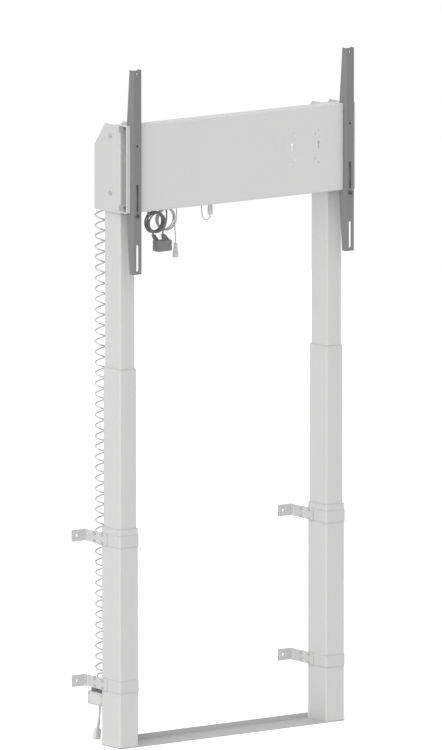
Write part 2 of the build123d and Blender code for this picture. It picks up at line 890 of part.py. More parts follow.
# Middle stages, with their collars, pads, carriers and bearings
carrier_bore = support_tube_radius + carrier_gap
for side, sign in sides.items():
    with BuildPart() as mid_tube:
        add_tube(column_plane(sign, mid_bottom), mid_width, mid_depth, stage_length, tube_corner)
    mid_tube.part.label = f"mid_tube_{side}"
    export_step(mid_tube.part, f"parts/mid_tube_{side}.step")

    with BuildPart() as mid_glides:
        add_collar(column_plane(sign, mid_top), mid_width, mid_depth, inner_width, inner_depth)
        add_pads(sign * column_x, mid_bottom, mid_width, mid_depth, outwards=True)
        add_pads(
            sign * column_x,
            mid_top - pad_length,
            mid_width - 2 * tube_wall,
            mid_depth - 2 * tube_wall,
            outwards=False,
        )
    mid_glides.part.label = f"mid_glides_{side}"
    export_step(mid_glides.part, f"parts/mid_glides_{side}.step")

    with BuildPart() as spindle_carrier:
        with BuildSketch(column_plane(sign, mid_bottom)):
            RectangleRounded(
                mid_width - 2 * tube_wall - 2 * weld_gap,
                mid_depth - 2 * tube_wall - 2 * weld_gap,
                inner_corner,
            )
            Circle(carrier_bore, mode=Mode.SUBTRACT)
        extrude(amount=carrier_plate)
        add_ring(
            column_plane(sign, mid_bottom + carrier_plate),
            carrier_bore + carrier_wall,
            carrier_bore,
            carrier_height,
        )
        ledge_level = carrier_top - bearing_height - bearing_ledge
        add_ring(
            column_plane(sign, ledge_level),
            carrier_bore + carrier_wall,
            drive_nut_radius + running_gap,
            bearing_ledge,
        )
        add_ring(
            column_plane(sign, carrier_top - bearing_height),
            carrier_bore - thread_gap,
            drive_nut_radius + spindle_gap,
            bearing_height,
        )
    spindle_carrier.part.label = f"spindle_carrier_{side}"
    export_step(spindle_carrier.part, f"parts/spindle_carrier_{side}.step")

    # Hollow spindle and the drive nut screwed to its top: one turning body, two solids
    with BuildPart() as hollow_spindle:
        add_ring(
            column_plane(sign, support_top - spindle_lead_in),
            hollow_spindle_radius,
            hollow_spindle_radius - hollow_spindle_wall,
            nut_bottom - support_top + spindle_lead_in,
        )
        add_ring(
            column_plane(sign, nut_bottom),
            drive_nut_radius,
            drive_spindle_radius + spindle_gap,
            drive_nut_height,
        )
    hollow_spindle.part.label = f"hollow_spindle_{side}"
    export_step(hollow_spindle.part, f"parts/hollow_spindle_{side}.step")

    with BuildPart() as drive_spindle:
        spindle_bottom = carrier_top - drive_spindle_dip
        with BuildSketch(column_plane(sign, spindle_bottom)):
            Circle(drive_spindle_radius)
        extrude(amount=motor_plate_level + motor_plate_height - running_gap - spindle_bottom)
        chamfer(drive_spindle.edges().sort_by(Axis.Z)[0], length=tube_wall / 2)
    drive_spindle.part.label = f"drive_spindle_{side}"
    export_step(drive_spindle.part, f"parts/drive_spindle_{side}.step")

# Inner stages, which carry the head
for side, sign in sides.items():
    with BuildPart() as inner_tube:
        add_tube(
            column_plane(sign, inner_bottom), inner_width, inner_depth, head_top - inner_bottom, tube_corner
        )
        for way in (-1, 1):
            holes = [
                facing_side(sign * column_x + way * inner_width / 2, 0, cheek_top - drop, way)
                for drop in cheek_screw_drops
            ]
            add_holes(holes, cheek_screw_radius + thread_gap, tube_wall)
    inner_tube.part.label = f"inner_tube_{side}"
    export_step(inner_tube.part, f"parts/inner_tube_{side}.step")

with BuildPart() as inner_glide_pads:
    for sign in sides.values():
        add_pads(sign * column_x, inner_bottom, inner_width, inner_depth, outwards=True)
inner_glide_pads.part.label = "inner_glide_pads"
export_step(inner_glide_pads.part, "parts/inner_glide_pads.step")

cavity_width = inner_width - 2 * tube_wall
cavity_depth = inner_depth - 2 * tube_wall
with BuildPart() as tube_caps:
    for sign in sides.values():
        with BuildSketch(column_plane(sign, head_top)) as cap_face:
            RectangleRounded(inner_width, inner_depth, tube_corner)
        extrude(cap_face.sketch, amount=cap_height)
        with BuildSketch(column_plane(sign, head_top)) as plug_face:
            RectangleRounded(
                cavity_width - 2 * running_gap, cavity_depth - 2 * running_gap, inner_corner
            )
            RectangleRounded(
                cavity_width - 2 * running_gap - 2 * tube_wall,
                cavity_depth - 2 * running_gap - 2 * tube_wall,
                inner_corner,
                mode=Mode.SUBTRACT,
            )
        extrude(plug_face.sketch, amount=-cap_plug)
tube_caps.part.label = "tube_caps"
export_step(tube_caps.part, "parts/tube_caps.step")

gearbox_bottom = motor_plate_level + motor_plate_height
with BuildPart() as gearboxes:
    for sign in sides.values():
        with BuildSketch(column_plane(sign, motor_plate_level)) as plate_face:
            RectangleRounded(cavity_width - 2 * weld_gap, cavity_depth - 2 * weld_gap, inner_corner)
            Circle(drive_spindle_radius + spindle_gap, mode=Mode.SUBTRACT)
        extrude(plate_face.sketch, amount=motor_plate_height)
        with BuildSketch(column_plane(sign, gearbox_bottom)) as gearbox_face:
            RectangleRounded(gearbox_side, gearbox_side, tube_corner)
        extrude(gearbox_face.sketch, amount=gearbox_height)
gearboxes.part.label = "gearboxes"
export_step(gearboxes.part, "parts/gearboxes.step")

with BuildPart() as motors:
    for sign in sides.values():
        with BuildSketch(column_plane(sign, gearbox_bottom + gearbox_height)) as motor_face:
            Circle(motor_radius)
        extrude(motor_face.sketch, amount=motor_height)
    fillet(motors.edges().group_by(Axis.Z)[-1], radius=tube_corner)
motors.part.label = "motors"
export_step(motors.part, "parts/motors.step")

# Head brackets: two cheeks joined by a front web, and on the left a tab for the cord gland
crossbar_screw_levels = (
    crossbar_bottom + crossbar_sheet + crossbar_lip / 2,
    crossbar_top - crossbar_sheet - crossbar_lip / 2,
)
for side, sign in sides.items():
    with BuildPart() as head_bracket:
        with BuildSketch(facing_side(sign * column_x - cheek_face, 0, 0)):
            with BuildLine():
                Polyline(
                    (-cheek_front, cheek_bottom),
                    (cheek_rear, cheek_bottom),
                    (cheek_rear, cheek_top - cheek_chamfer_z),
                    (cheek_rear - cheek_chamfer_y, cheek_top),
                    (-cheek_front, cheek_top),
                    close=True,
                )
            make_face()
        extrude(amount=2 * cheek_face)
        fillet(
            head_bracket.edges().filter_by(Axis.Z).sort_by(Axis.Y)[:2], radius=2 * cheek_sheet
        )
        with BuildSketch(level(sign * column_x, -cheek_front + cheek_sheet, cheek_bottom)):
            RectangleRounded(
                2 * (cheek_face - cheek_sheet), 2 * cheek_rear + cheek_front + cut_overrun, cheek_sheet
            )
            Rectangle(
                2 * cheek_face,
                2 * cheek_rear + cheek_front + cut_overrun,
                align=(Align.CENTER, Align.MAX),
                mode=Mode.SUBTRACT,
            )
            with Locations((0, cheek_sheet)):
                Rectangle(
                    2 * (cheek_face - cheek_sheet),
                    cheek_rear + cheek_front,
                    align=(Align.CENTER, Align.MIN),
                )
        extrude(amount=cheek_height, mode=Mode.SUBTRACT)
        for way in (-1, 1):
            add_holes(
                [
                    facing_side(sign * column_x + way * cheek_face, 0, cheek_top - drop, way)
                    for drop in cheek_screw_drops
                ],
                cheek_screw_radius + thread_gap,
                cheek_sheet,
            )
        add_holes(
            [
                facing_front(sign * column_x + share * crossbar_screw_spacing / 2, -cheek_front, z)
                for share in (-1, 1)
                for z in crossbar_screw_levels
            ],
            crossbar_screw_radius + thread_gap,
            cheek_sheet,
        )
        if side == "left":
            add_holes(
                [facing_side(-column_x + cheek_face, cable_hole_y, cable_hole_level)],
                cable_hole_radius,
                cheek_sheet,
            )
            with BuildSketch(
                level(-column_x - cheek_face + cheek_sheet, gland_place.Y, gland_tab_level)
            ):
                Rectangle(gland_tab_reach, gland_tab_depth, align=(Align.MIN, Align.CENTER))
            extrude(amount=cheek_sheet)
            add_holes(
                [level(gland_place.X, gland_place.Y, gland_tab_level + cheek_sheet)],
                curl_gland_radius - tube_wall + thread_gap,
                cheek_sheet,
            )
    head_bracket.part.label = f"head_bracket_{side}"
    export_step(head_bracket.part, f"parts/head_bracket_{side}.step")

spacer_length = cheek_face - cheek_sheet - inner_width / 2
with BuildPart() as head_screws:
    for sign in sides.values():
        for way in (-1, 1):
            planes = [
                facing_side(sign * column_x + way * cheek_face, 0, cheek_top - drop, way)
                for drop in cheek_screw_drops
            ]
            length = cheek_sheet + spacer_length + tube_wall + cheek_screw_tip
            add_screws(planes, cheek_screw_radius, length, cheek_screw_head_radius, cheek_screw_head)
            for drop in cheek_screw_drops:
                add_ring(
                    facing_side(
                        sign * column_x + way * (inner_width / 2 + weld_gap), 0, cheek_top - drop, way
                    ),
                    spacer_radius,
                    cheek_screw_radius + thread_gap,
                    spacer_length - 2 * weld_gap,
                )
head_screws.part.label = "head_screws"
export_step(head_screws.part, "parts/head_screws.step")

with BuildPart() as cord_gland:
    add_ring(
        level(gland_place.X, gland_place.Y, gland_tab_level),
        curl_gland_radius - tube_wall,
        curl_wire / 2 + running_gap,
        gland_bottom + curl_gland_height - gland_tab_level,
    )
    with BuildSketch(level(gland_place.X, gland_place.Y, gland_bottom)):
        RegularPolygon(curl_gland_radius, 6)
    extrude(amount=gland_tab_level - running_gap - gland_bottom)
    with BuildSketch(level(gland_place.X, gland_place.Y, gland_tab_level - running_gap)):
        Circle(curl_gland_radius - tube_wall)
        Circle(curl_wire / 2 + running_gap, mode=Mode.SUBTRACT)
    extrude(amount=tube_wall)
cord_gland.part.label = "cord_gland"
export_step(cord_gland.part, "parts/cord_gland.step")

# Crossbar: a channel with lips, open at its back and its ends
control_screw_x = (control_left + control_screw_inset, control_left + control_length - control_screw_inset)
with BuildPart() as crossbar:
    half_length = crossbar_length / 2
    with BuildSketch(facing_side(-half_length, 0, 0)):
        with Locations((-cheek_front - crossbar_depth / 2, crossbar_bottom + crossbar_height / 2)):
            RectangleRounded(crossbar_depth, crossbar_height, crossbar_bend)
            RectangleRounded(
                crossbar_depth - 2 * crossbar_sheet,
                crossbar_height - 2 * crossbar_sheet,
                crossbar_bend - crossbar_sheet,
                mode=Mode.SUBTRACT,
            )
        with Locations((-cheek_front, crossbar_bottom + crossbar_height / 2)):
            Rectangle(
                2 * crossbar_bend,
                crossbar_height - 2 * crossbar_sheet - 2 * crossbar_lip,
                mode=Mode.SUBTRACT,
            )
    extrude(amount=crossbar_length)
    add_holes(
        [
            facing_front(
                sign * column_x + share * crossbar_screw_spacing / 2, -cheek_front - crossbar_sheet, z
            )
            for sign in sides.values()
            for share in (-1, 1)
            for z in crossbar_screw_levels
        ],
        crossbar_screw_radius + thread_gap,
        crossbar_sheet,
    )
    device_face = facing_front(device_pattern_x, plate_front, device_pattern_level)
    for spacing in (device_large_spacing, device_small_spacing):
        with BuildSketch(device_face):
            with GridLocations(spacing, spacing, 2, 2):
                Circle(device_hole_radius)
        extrude(amount=-crossbar_sheet, mode=Mode.SUBTRACT)
    for share in (-1, 1):
        x = device_pattern_x + share * device_large_spacing / 2
        add_holes([facing_front(x, plate_front, keyhole_level)], keyhole_radius, crossbar_sheet)
        add_slots(
            [facing_front(x, plate_front, keyhole_level - keyhole_drop / 2)],
            keyhole_drop + keyhole_slot_width,
            keyhole_slot_width,
            crossbar_sheet,
            turn=90,
        )
    add_holes(
        [
            level(x, control_screw_y, crossbar_bottom + crossbar_sheet) for x in control_screw_x
        ],
        control_screw_radius + thread_gap,
        crossbar_sheet,
    )
crossbar.part.label = "crossbar"
export_step(crossbar.part, "parts/crossbar.step")

crossbar_screw_planes = [
    facing_front(sign * column_x + share * crossbar_screw_spacing / 2, -cheek_front - crossbar_sheet, z)
    for sign in sides.values()
    for share in (-1, 1)
    for z in crossbar_screw_levels
]
with BuildPart() as crossbar_screws:
    add_screws(
        crossbar_screw_planes,
        crossbar_screw_radius,
        crossbar_sheet + cheek_sheet + crossbar_nut_height,
        crossbar_screw_head_radius,
        crossbar_screw_head,
    )
    web_back = [plane.offset(-crossbar_sheet - cheek_sheet) for plane in crossbar_screw_planes]
    add_nuts(web_back, strap_nut_radius, crossbar_screw_radius, crossbar_nut_height)
    add_screws(
        [Plane(origin=(x, control_screw_y, crossbar_bottom), z_dir=(0, 0, -1)) for x in control_screw_x],
        control_screw_radius,
        crossbar_sheet + control_boss_height,
        control_screw_head_radius,
        control_screw_head,
    )
crossbar_screws.part.label = "crossbar_screws"
export_step(crossbar_screws.part, "parts/crossbar_screws.step")

# Control box on the crossbar's lower flange, closed by a cover at its back
control_x = control_left + control_length / 2
power_exit_x = power_loop_x - power_loop_radius
signal_exit_x = signal_loop_x + signal_loop_radius
lead_level = control_bottom + control_height - lead_inlet_drop
cord_exits = [
    (lead_inlet_x, lead_level, curl_wire),
    (power_exit_x, power_exit_level, power_wire),
    (riser_x, power_exit_level, power_wire),
    (signal_exit_x, signal_exit_level, signal_wire),
    (service_exit_x, service_exit_level, service_wire),
]
with BuildPart() as control_box:
    with BuildSketch(level(control_x, control_front + control_depth / 2, control_bottom)):
        RectangleRounded(control_length, control_depth, control_wall)
    extrude(amount=control_height)
    with BuildSketch(facing_front(control_x, control_rear, control_bottom + control_height / 2)):
        Rectangle(control_length - 2 * control_wall, control_height - 2 * control_wall)
    extrude(amount=control_depth - control_wall, mode=Mode.SUBTRACT)
    for x in control_screw_x:
        with BuildSketch(level(x, control_screw_y, control_bottom)) as boss_face:
            Circle(control_boss_radius)
        extrude(boss_face.sketch, amount=control_boss_height)
        add_holes(
            [level(x, control_screw_y, control_bottom + control_boss_height)],
            control_screw_radius + thread_gap,
            control_boss_height,
        )
control_box.part.label = "control_box"
export_step(control_box.part, "parts/control_box.step")

with BuildPart() as control_box_cover:
    with BuildSketch(facing_front(control_x, control_rear, control_bottom + control_height / 2)):
        Rectangle(
            control_length - 2 * control_wall - 2 * weld_gap,
            control_height - 2 * control_wall - 2 * weld_gap,
        )
    extrude(amount=control_cover)
control_box_cover.part.label = "control_box_cover"
export_step(control_box_cover.part, "parts/control_box_cover.step")

with BuildPart() as cord_grommets:
    for x, z, wire in cord_exits:
        add_ring(
            facing_front(x, control_rear + grommet_height, z),
            grommet_radius,
            wire / 2 + running_gap,
            grommet_height,
        )
cord_grommets.part.label = "cord_grommets"
export_step(cord_grommets.part, "parts/cord_grommets.step")


def loop_place(x, y, z, radius, pitch, layers, way, start_angle):
    """Centre line of a pile of loops that spirals in and out, one loop to a layer."""

    def place(turns):
        inwards = abs((min(turns, layers) + 1) % 2 - 1) - max(turns - layers, 0)
        angle = start_angle + way * 2 * pi * turns
        around = radius - pitch * inwards
        depth = (climb(turns, 1, layers) - (layers - 1) / 2) * pitch
        return Vector(x + around * cos(angle), y + depth, z + around * sin(angle))

    return place


# Dark power cord: out of the control box, down into its loops, and on to the power block
power_block_top = power_block_level + power_block_height
sleeve_top = power_block_top + sleeve_height
power_place = loop_place(
    power_loop_x,
    power_loop_y,
    power_loop_level,
    power_loop_radius,
    power_loop_pitch,
    power_layers,
    1,
    pi,
)
power_turns = power_layers + 0.14
power_start = power_place(0)
coil_sleeve = Vector(power_block_x + coil_sleeve_shift, power_place(power_turns).Y, power_block_top)
riser_sleeve = Vector(power_block_x + riser_sleeve_shift, power_loop_y, power_block_top)
grommet_face = control_rear + grommet_height
down = Vector(0, 0, -1)
power_bend = power_start.Y - grommet_face - power_wire
with BuildPart() as power_cord:
    add_winding(
        "power cord",
        power_place,
        power_turns,
        Vector(power_start.X, grommet_face, power_exit_level),
        Vector(0, 1, 0),
        coil_sleeve + Vector(-coil_sleeve_lean, 0, sleeve_height),
        down,
        power_wire,
        steps_per_turn=4,
        lead_in=[(Vector(power_start.X, power_start.Y, power_exit_level - power_bend), down)],
    )
power_cord.part.label = "power_cord"
export_step(power_cord.part, "parts/power_cord.step")

riser_route = [
    (riser_x, grommet_face, power_exit_level),
    (riser_x, -43.0, power_exit_level),
    (-236.0, -35.2, 1701.5),
    (-236.0, -30.7, 1693.7),
    (-236.0, -30.0, 1676.0),
    (-235.5, -30.5, 1650.0),
    (-235.3, -30.0, 1626.0),
    (-237.7, -30.0, 1611.0),
    (-242.8, -30.0, 1599.5),
    (riser_sleeve.X - riser_sleeve_lean, power_loop_y, 1589.0),
    (riser_sleeve.X - riser_sleeve_lean, power_loop_y, sleeve_top),
]
with BuildPart() as power_riser:
    add_cord("power riser", riser_route, power_wire)
power_riser.part.label = "power_riser"
export_step(power_riser.part, "parts/power_riser.step")

with BuildPart() as power_block:
    with BuildSketch(level(power_block_x, power_loop_y, power_block_level)):
        RectangleRounded(power_block_width, power_block_depth, power_block_chamfer)
    extrude(amount=power_block_height)
    chamfer(power_block.faces().sort_by(Axis.Z)[-1].edges(), length=power_block_chamfer / 3)
    for place, lean, foot_width, end_width in (
        (coil_sleeve, coil_sleeve_lean, coil_sleeve_foot, coil_sleeve_end),
        (riser_sleeve, riser_sleeve_lean, riser_sleeve_foot, riser_sleeve_end),
    ):
        with BuildSketch(Plane(origin=place)) as foot_face:
            RectangleRounded(foot_width, sleeve_depth, sleeve_corner)
        with BuildSketch(Plane(origin=place + Vector(-lean, 0, sleeve_height))) as end_face:
            RectangleRounded(end_width, sleeve_depth, sleeve_corner)
        loft([foot_face.sketch, end_face.sketch])
power_block.part.label = "power_block"
export_step(power_block.part, "parts/power_block.step")

# Light signal cord: down into its loops and on to its tapered plug
signal_place = loop_place(
    signal_loop_x,
    signal_loop_y,
    signal_loop_level,
    signal_loop_radius,
    signal_loop_pitch,
    signal_layers,
    -1,
    0,
)
signal_start = signal_place(0)
signal_plug_top = signal_plug_bottom + signal_plug_height
signal_end = signal_place(signal_layers)
signal_bend = signal_start.Y - grommet_face - signal_wire
with BuildPart() as signal_cord:
    add_winding(
        "signal cord",
        signal_place,
        signal_layers,
        Vector(signal_start.X, grommet_face, signal_exit_level),
        Vector(0, 1, 0),
        Vector(signal_end.X + signal_plug_shift, signal_end.Y, signal_plug_top),
        down,
        signal_wire,
        steps_per_turn=4,
        lead_in=[(Vector(signal_start.X, signal_start.Y, signal_exit_level - signal_bend), down)],
    )
signal_cord.part.label = "signal_cord"
export_step(signal_cord.part, "parts/signal_cord.step")

with BuildPart() as signal_plug:
    with BuildSketch(level(signal_end.X + signal_plug_shift, signal_end.Y, signal_plug_bottom)):
        RectangleRounded(signal_plug_width, signal_plug_width, signal_wire)
    with BuildSketch(level(signal_end.X + signal_plug_shift, signal_end.Y, signal_plug_top)):
        RectangleRounded(signal_plug_top_width, signal_plug_top_width, signal_wire)
    loft()
signal_plug.part.label = "signal_plug"
export_step(signal_plug.part, "parts/signal_plug.step")

# Service connector under the crossbar and the loop of cable into it
service_socket_bottom = crossbar_bottom - running_gap - service_socket_height
with BuildPart() as service_connector:
    with BuildSketch(level(service_socket_x, service_socket_y, service_socket_bottom)):
        RectangleRounded(service_socket_width, service_socket_depth, tube_wall)
    extrude(amount=service_socket_height)
service_connector.part.label = "service_connector"
export_step(service_connector.part, "parts/service_connector.step")

service_route = [
    (service_exit_x, grommet_face, service_exit_level),
    (-105.5, -43.0, 1706.0),
    (-105.5, -36.5, 1702.0),
    (-105.5, -32.8, 1695.5),
    (-106.0, -32.5, 1681.0),
    (-106.8, -33.5, 1663.0),
    (-107.2, -35.0, 1646.0),
    (-107.0, -36.8, 1632.0),
    (-106.2, -38.3, 1620.7),
    (-103.2, -41.8, 1614.2),
    (-98.4, -47.5, 1611.8),
    (-93.6, -53.3, 1614.2),
    (service_socket_x, service_socket_y, 1620.7),
    (service_socket_x, service_socket_y, service_socket_bottom),
]
with BuildPart() as service_cord:
    add_cord("service cord", service_route, service_wire)
service_cord.part.label = "service_cord"
export_step(service_cord.part, "parts/service_cord.step")

# Lead from the gland to the control box, clipped inside the head
gland_top = gland_bottom + curl_gland_height
lead_route = [
    (gland_place.X, gland_place.Y, gland_top),
    (gland_place.X, gland_place.Y, 1713.5),
    (-396.3, 69.0, 1723.5),
    (-389.0, 68.3, 1731.5),
    (-378.5, 66.2, 1736.0),
    (-366.0, 64.0, 1737.5),
    (-355.0, cable_hole_y, 1737.7),
    (-341.0, 60.5, 1737.0),
    (-329.0, 53.0, 1736.0),
    (-322.0, 40.0, 1734.5),
    (-320.0, 22.0, 1732.5),
    (-319.5, -4.0, 1729.5),
    (lead_inlet_x, -30.0, lead_level),
    (lead_inlet_x, grommet_face, lead_level),
]
with BuildPart() as head_lead:
    add_cord("head lead", lead_route, curl_wire)
head_lead.part.label = "head_lead"
export_step(head_lead.part, "parts/head_lead.step")

# Screen arms: channels that hook over the crossbar, slotted for the screen's bolts
arm_top = arm_bottom + arm_length
for side, sign in sides.items():
    arm_x = sign * arm_spacing / 2
    with BuildPart() as screen_arm:
        with BuildSketch(facing_side(arm_x - arm_width / 2, 0, 0)):
            with BuildLine():
                Polyline(
                    (arm_front, arm_bottom),
                    (arm_front + arm_end_depth, arm_bottom),
                    (arm_front + arm_mid_depth, crossbar_bottom - clamp_height * 2),
                    (arm_front + arm_mid_depth, crossbar_bottom - running_gap),
                    (plate_front - running_gap, crossbar_bottom - running_gap),
                    (plate_front - running_gap, crossbar_top + running_gap),
                    (arm_front + arm_mid_depth, crossbar_top + running_gap),
                    (arm_front + arm_end_depth, arm_top),
                    (arm_front, arm_top),
                    close=True,
                )
            make_face()
        extrude(amount=arm_width)
        fillet(screen_arm.edges().filter_by(Axis.Z).sort_by(Axis.Y)[:2], radius=arm_sheet)
        with BuildSketch(level(arm_x, arm_front + arm_sheet, arm_bottom)):
            Rectangle(
                arm_width - 2 * arm_sheet, arm_mid_depth + cut_overrun, align=(Align.CENTER, Align.MIN)
            )
        extrude(amount=arm_length, mode=Mode.SUBTRACT)
        add_holes(
            [
                facing_front(arm_x, arm_front, arm_top - drop)
                for drop in (arm_top_hole_drop, arm_mid_hole_drop)
            ],
            arm_hole_radius,
            arm_sheet,
        )
        add_holes(
            [facing_front(arm_x, arm_front, lock_screw_level)],
            lock_screw_radius + thread_gap,
            arm_sheet,
        )
        add_slots(
            [facing_front(arm_x, arm_front, height) for height in arm_slot_levels],
            arm_slot_length,
            arm_slot_width,
            arm_sheet,
            turn=90,
        )
        relief_foot = arm_slot_levels[0] - arm_slot_length / 2
        with BuildSketch(level(arm_x + arm_width / 2, arm_front + arm_relief_setback, relief_foot)):
            Rectangle(3 * arm_sheet, arm_mid_depth, align=(Align.CENTER, Align.MIN))
        extrude(amount=arm_slot_length, mode=Mode.SUBTRACT)
    screen_arm.part.label = f"screen_arm_{side}"
    export_step(screen_arm.part, f"parts/screen_arm_{side}.step")

    with BuildPart() as arm_clamp:
        clamp_front = arm_front + arm_sheet
        with BuildSketch(facing_front(arm_x, clamp_front, lock_screw_level)):
            Rectangle(arm_width - 2 * arm_sheet - 2 * clamp_side_gap, clamp_height - 2 * running_gap)
            Circle(lock_screw_radius + thread_gap, mode=Mode.SUBTRACT)
        extrude(amount=-clamp_reach)
    arm_clamp.part.label = f"arm_clamp_{side}"
    export_step(arm_clamp.part, f"parts/arm_clamp_{side}.step")

    with BuildPart() as lock_screw:
        add_screws(
            [facing_front(arm_x, arm_front, lock_screw_level)],
            lock_screw_radius,
            arm_sheet + clamp_reach,
            lock_screw_head_radius,
            lock_screw_head,
        )
    lock_screw.part.label = f"lock_screw_{side}"
    export_step(lock_screw.part, f"parts/lock_screw_{side}.step")
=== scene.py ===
"""Television lift, fully raised: finishes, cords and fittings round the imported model."""
import json
from math import cos, pi, radians, sin

import bmesh
import bpy
from bpy.props import FloatProperty, FloatVectorProperty, IntProperty, PointerProperty
from bpy.types import Operator, Panel, PropertyGroup
from mathutils import Matrix, Vector

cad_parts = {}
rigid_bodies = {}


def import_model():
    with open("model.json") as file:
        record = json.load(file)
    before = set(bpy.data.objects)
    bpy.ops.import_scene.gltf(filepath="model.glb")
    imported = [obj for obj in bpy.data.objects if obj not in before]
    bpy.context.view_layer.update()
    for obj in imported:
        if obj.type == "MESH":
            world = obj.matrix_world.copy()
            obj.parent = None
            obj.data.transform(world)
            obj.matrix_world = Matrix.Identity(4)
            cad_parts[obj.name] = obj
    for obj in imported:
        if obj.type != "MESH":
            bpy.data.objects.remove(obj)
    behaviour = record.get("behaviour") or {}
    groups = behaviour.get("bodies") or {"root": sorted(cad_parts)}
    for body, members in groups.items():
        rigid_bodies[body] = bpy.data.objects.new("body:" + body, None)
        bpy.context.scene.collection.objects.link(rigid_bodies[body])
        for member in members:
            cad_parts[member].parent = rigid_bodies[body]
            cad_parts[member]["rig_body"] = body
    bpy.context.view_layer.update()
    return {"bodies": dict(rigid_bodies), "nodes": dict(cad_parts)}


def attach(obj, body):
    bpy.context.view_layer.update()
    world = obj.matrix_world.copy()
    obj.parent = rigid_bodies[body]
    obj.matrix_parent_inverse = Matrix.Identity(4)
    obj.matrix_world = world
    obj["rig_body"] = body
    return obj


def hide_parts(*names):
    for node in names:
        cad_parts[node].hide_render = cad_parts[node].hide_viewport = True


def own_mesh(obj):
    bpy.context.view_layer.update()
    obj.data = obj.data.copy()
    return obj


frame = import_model()

bl_info = {
    "name": "Television lift",
    "version": (1, 0, 0),
    "blender": (4, 5, 0),
    "location": "View3D > Sidebar > TV lift",
    "description": "Finishes, cords and fittings of a telescopic television lift",
    "category": "Object",
}

MM = 0.001
SIDES = ("left", "right")
# A quadratic spline runs inside the points of a turn, at this share of their radius
POINTS_PER_TURN = 12
SPLINE_SHARE = 0.75 + 0.25 * cos(2 * pi / POINTS_PER_TURN)
# Points closer than this are merged, and edges sharper than this angle are drawn sharp
WELD_DISTANCE = 0.001 * MM
SHARP_ANGLE = radians(38)
# A face looks along a direction when the cosine between them is above this
FACING = 0.99
BUMP_DISTANCE = 0.2 * MM
WHITE = (1.0, 1.0, 1.0, 1.0)

# The stage, in metres: the camera is about 60 m off and its lens long, so the view is nearly parallel
CAMERA_CLIP = (1.0, 400.0)
KEY_DIRECTION = Vector((0.68, 0.44, -0.59))
KEY_ANGLE = radians(90)
FLOOR_RADIUS = 9.0
FLOOR_SIDES = 96
FLOOR_DROP = 0.0005
FLOOR_GLOW = 0.34


def colour_property(name, description, default):
    """A colour of one finish."""
    return FloatVectorProperty(
        name=name,
        description=description,
        default=default,
        size=3,
        min=0.0,
        max=1.0,
        subtype="COLOR",
    )


def length_property(name, description, millimetres):
    """A length, given here in millimetres and kept in metres."""
    return FloatProperty(
        name=name,
        description=description,
        default=millimetres * MM,
        min=0.0,
        unit="LENGTH",
        precision=5,
    )


class LiftFinishes(PropertyGroup):
    """Colours of the lift's coats, metals, plastics and jackets."""

    column: colour_property("Column coat", "Powder coat of the columns", (0.55, 0.55, 0.547))
    crossbar: colour_property("Crossbar coat", "Powder coat of the crossbar", (0.585, 0.585, 0.583))
    bracket: colour_property("Bracket coat", "Powder coat of straps and brackets", (0.535, 0.535, 0.533))
    tray: colour_property("Tray coat", "Powder coat of the base tray", (0.44, 0.44, 0.444))
    arm: colour_property("Arm coat", "Powder coat of the screen arms", (0.185, 0.185, 0.188))
    zinc: colour_property("Zinc", "Plating of screws and nuts", (0.56, 0.56, 0.55))
    black_zinc: colour_property("Black zinc", "Plating of the lock screws", (0.085, 0.085, 0.087))
    steel: colour_property("Spindle steel", "Turned steel of the spindles", (0.48, 0.48, 0.475))
    brass: colour_property("Nut brass", "Brass of the fixed nuts", (0.66, 0.50, 0.24))
    pale_plastic: colour_property("Pale plastic", "Housings, pads and collars", (0.58, 0.58, 0.576))
    dark_plastic: colour_property("Dark plastic", "Sockets, grommets and power block", (0.185, 0.185, 0.188))
    casing: colour_property("Motor casing", "Paint of motors and gearboxes", (0.09, 0.09, 0.094))
    pale_cord: colour_property("Pale jacket", "Jacket of the pale cords", (0.54, 0.54, 0.536))
    dark_cord: colour_property("Dark jacket", "Jacket of the power cord", (0.16, 0.16, 0.163))


class LiftCords(PropertyGroup):
    """Sizes of the cords."""

    curl_wire: length_property("Curly cord", "Thickness of the curly cord", 5.0)
    curl_radius: length_property("Curl radius", "Radius of the curly cord's centre line", 14.5)
    power_wire: length_property("Power cord", "Thickness of the dark cord", 5.0)
    signal_wire: length_property("Signal cord", "Thickness of the thin pale cords", 3.5)
    mains_wire: length_property("Mains lead", "Thickness of the short mains lead", 6.0)
    sides: IntProperty(
        name="Facets",
        description="Facets in a quarter of a cord's section",
        default=3,
        min=1,
    )


class LiftStage(PropertyGroup):
    """Camera, lamp, surroundings and floor."""

    azimuth: FloatProperty(
        name="Azimuth",
        description="Turn of the camera round the lift",
        default=radians(-35.6364),
        unit="ROTATION",
    )
    elevation: FloatProperty(
        name="Elevation",
        description="Height of the camera as an angle",
        default=radians(9.4053),
        unit="ROTATION",
    )
    place: FloatVectorProperty(
        name="Place",
        description="Where the camera stands",
        default=(-35.2577, -49.1688, 11.1364),
        unit="LENGTH",
    )
    lens: FloatProperty(
        name="Lens",
        description="Focal length",
        default=960.0,
        subtype="DISTANCE_CAMERA",
    )
    key: FloatProperty(name="Key light", description="Strength of the lamp", default=2.2)
    ambient: FloatProperty(name="Ambient light", description="Strength of the surroundings", default=0.64)
    floor: colour_property("Floor", "Colour of the floor", (0.86, 0.86, 0.86))


# Node groups that the finishes share


def new_group(name, inputs, outputs):
    """An empty shader group with named sockets."""
    group = bpy.data.node_groups.new(name, "ShaderNodeTree")
    for label, kind, value in inputs:
        socket = group.interface.new_socket(name=label, in_out="INPUT", socket_type="NodeSocket" + kind)
        if value is not None:
            socket.default_value = value
    for label, kind in outputs:
        group.interface.new_socket(name=label, in_out="OUTPUT", socket_type="NodeSocket" + kind)
    return group, group.nodes.new("NodeGroupInput"), group.nodes.new("NodeGroupOutput")


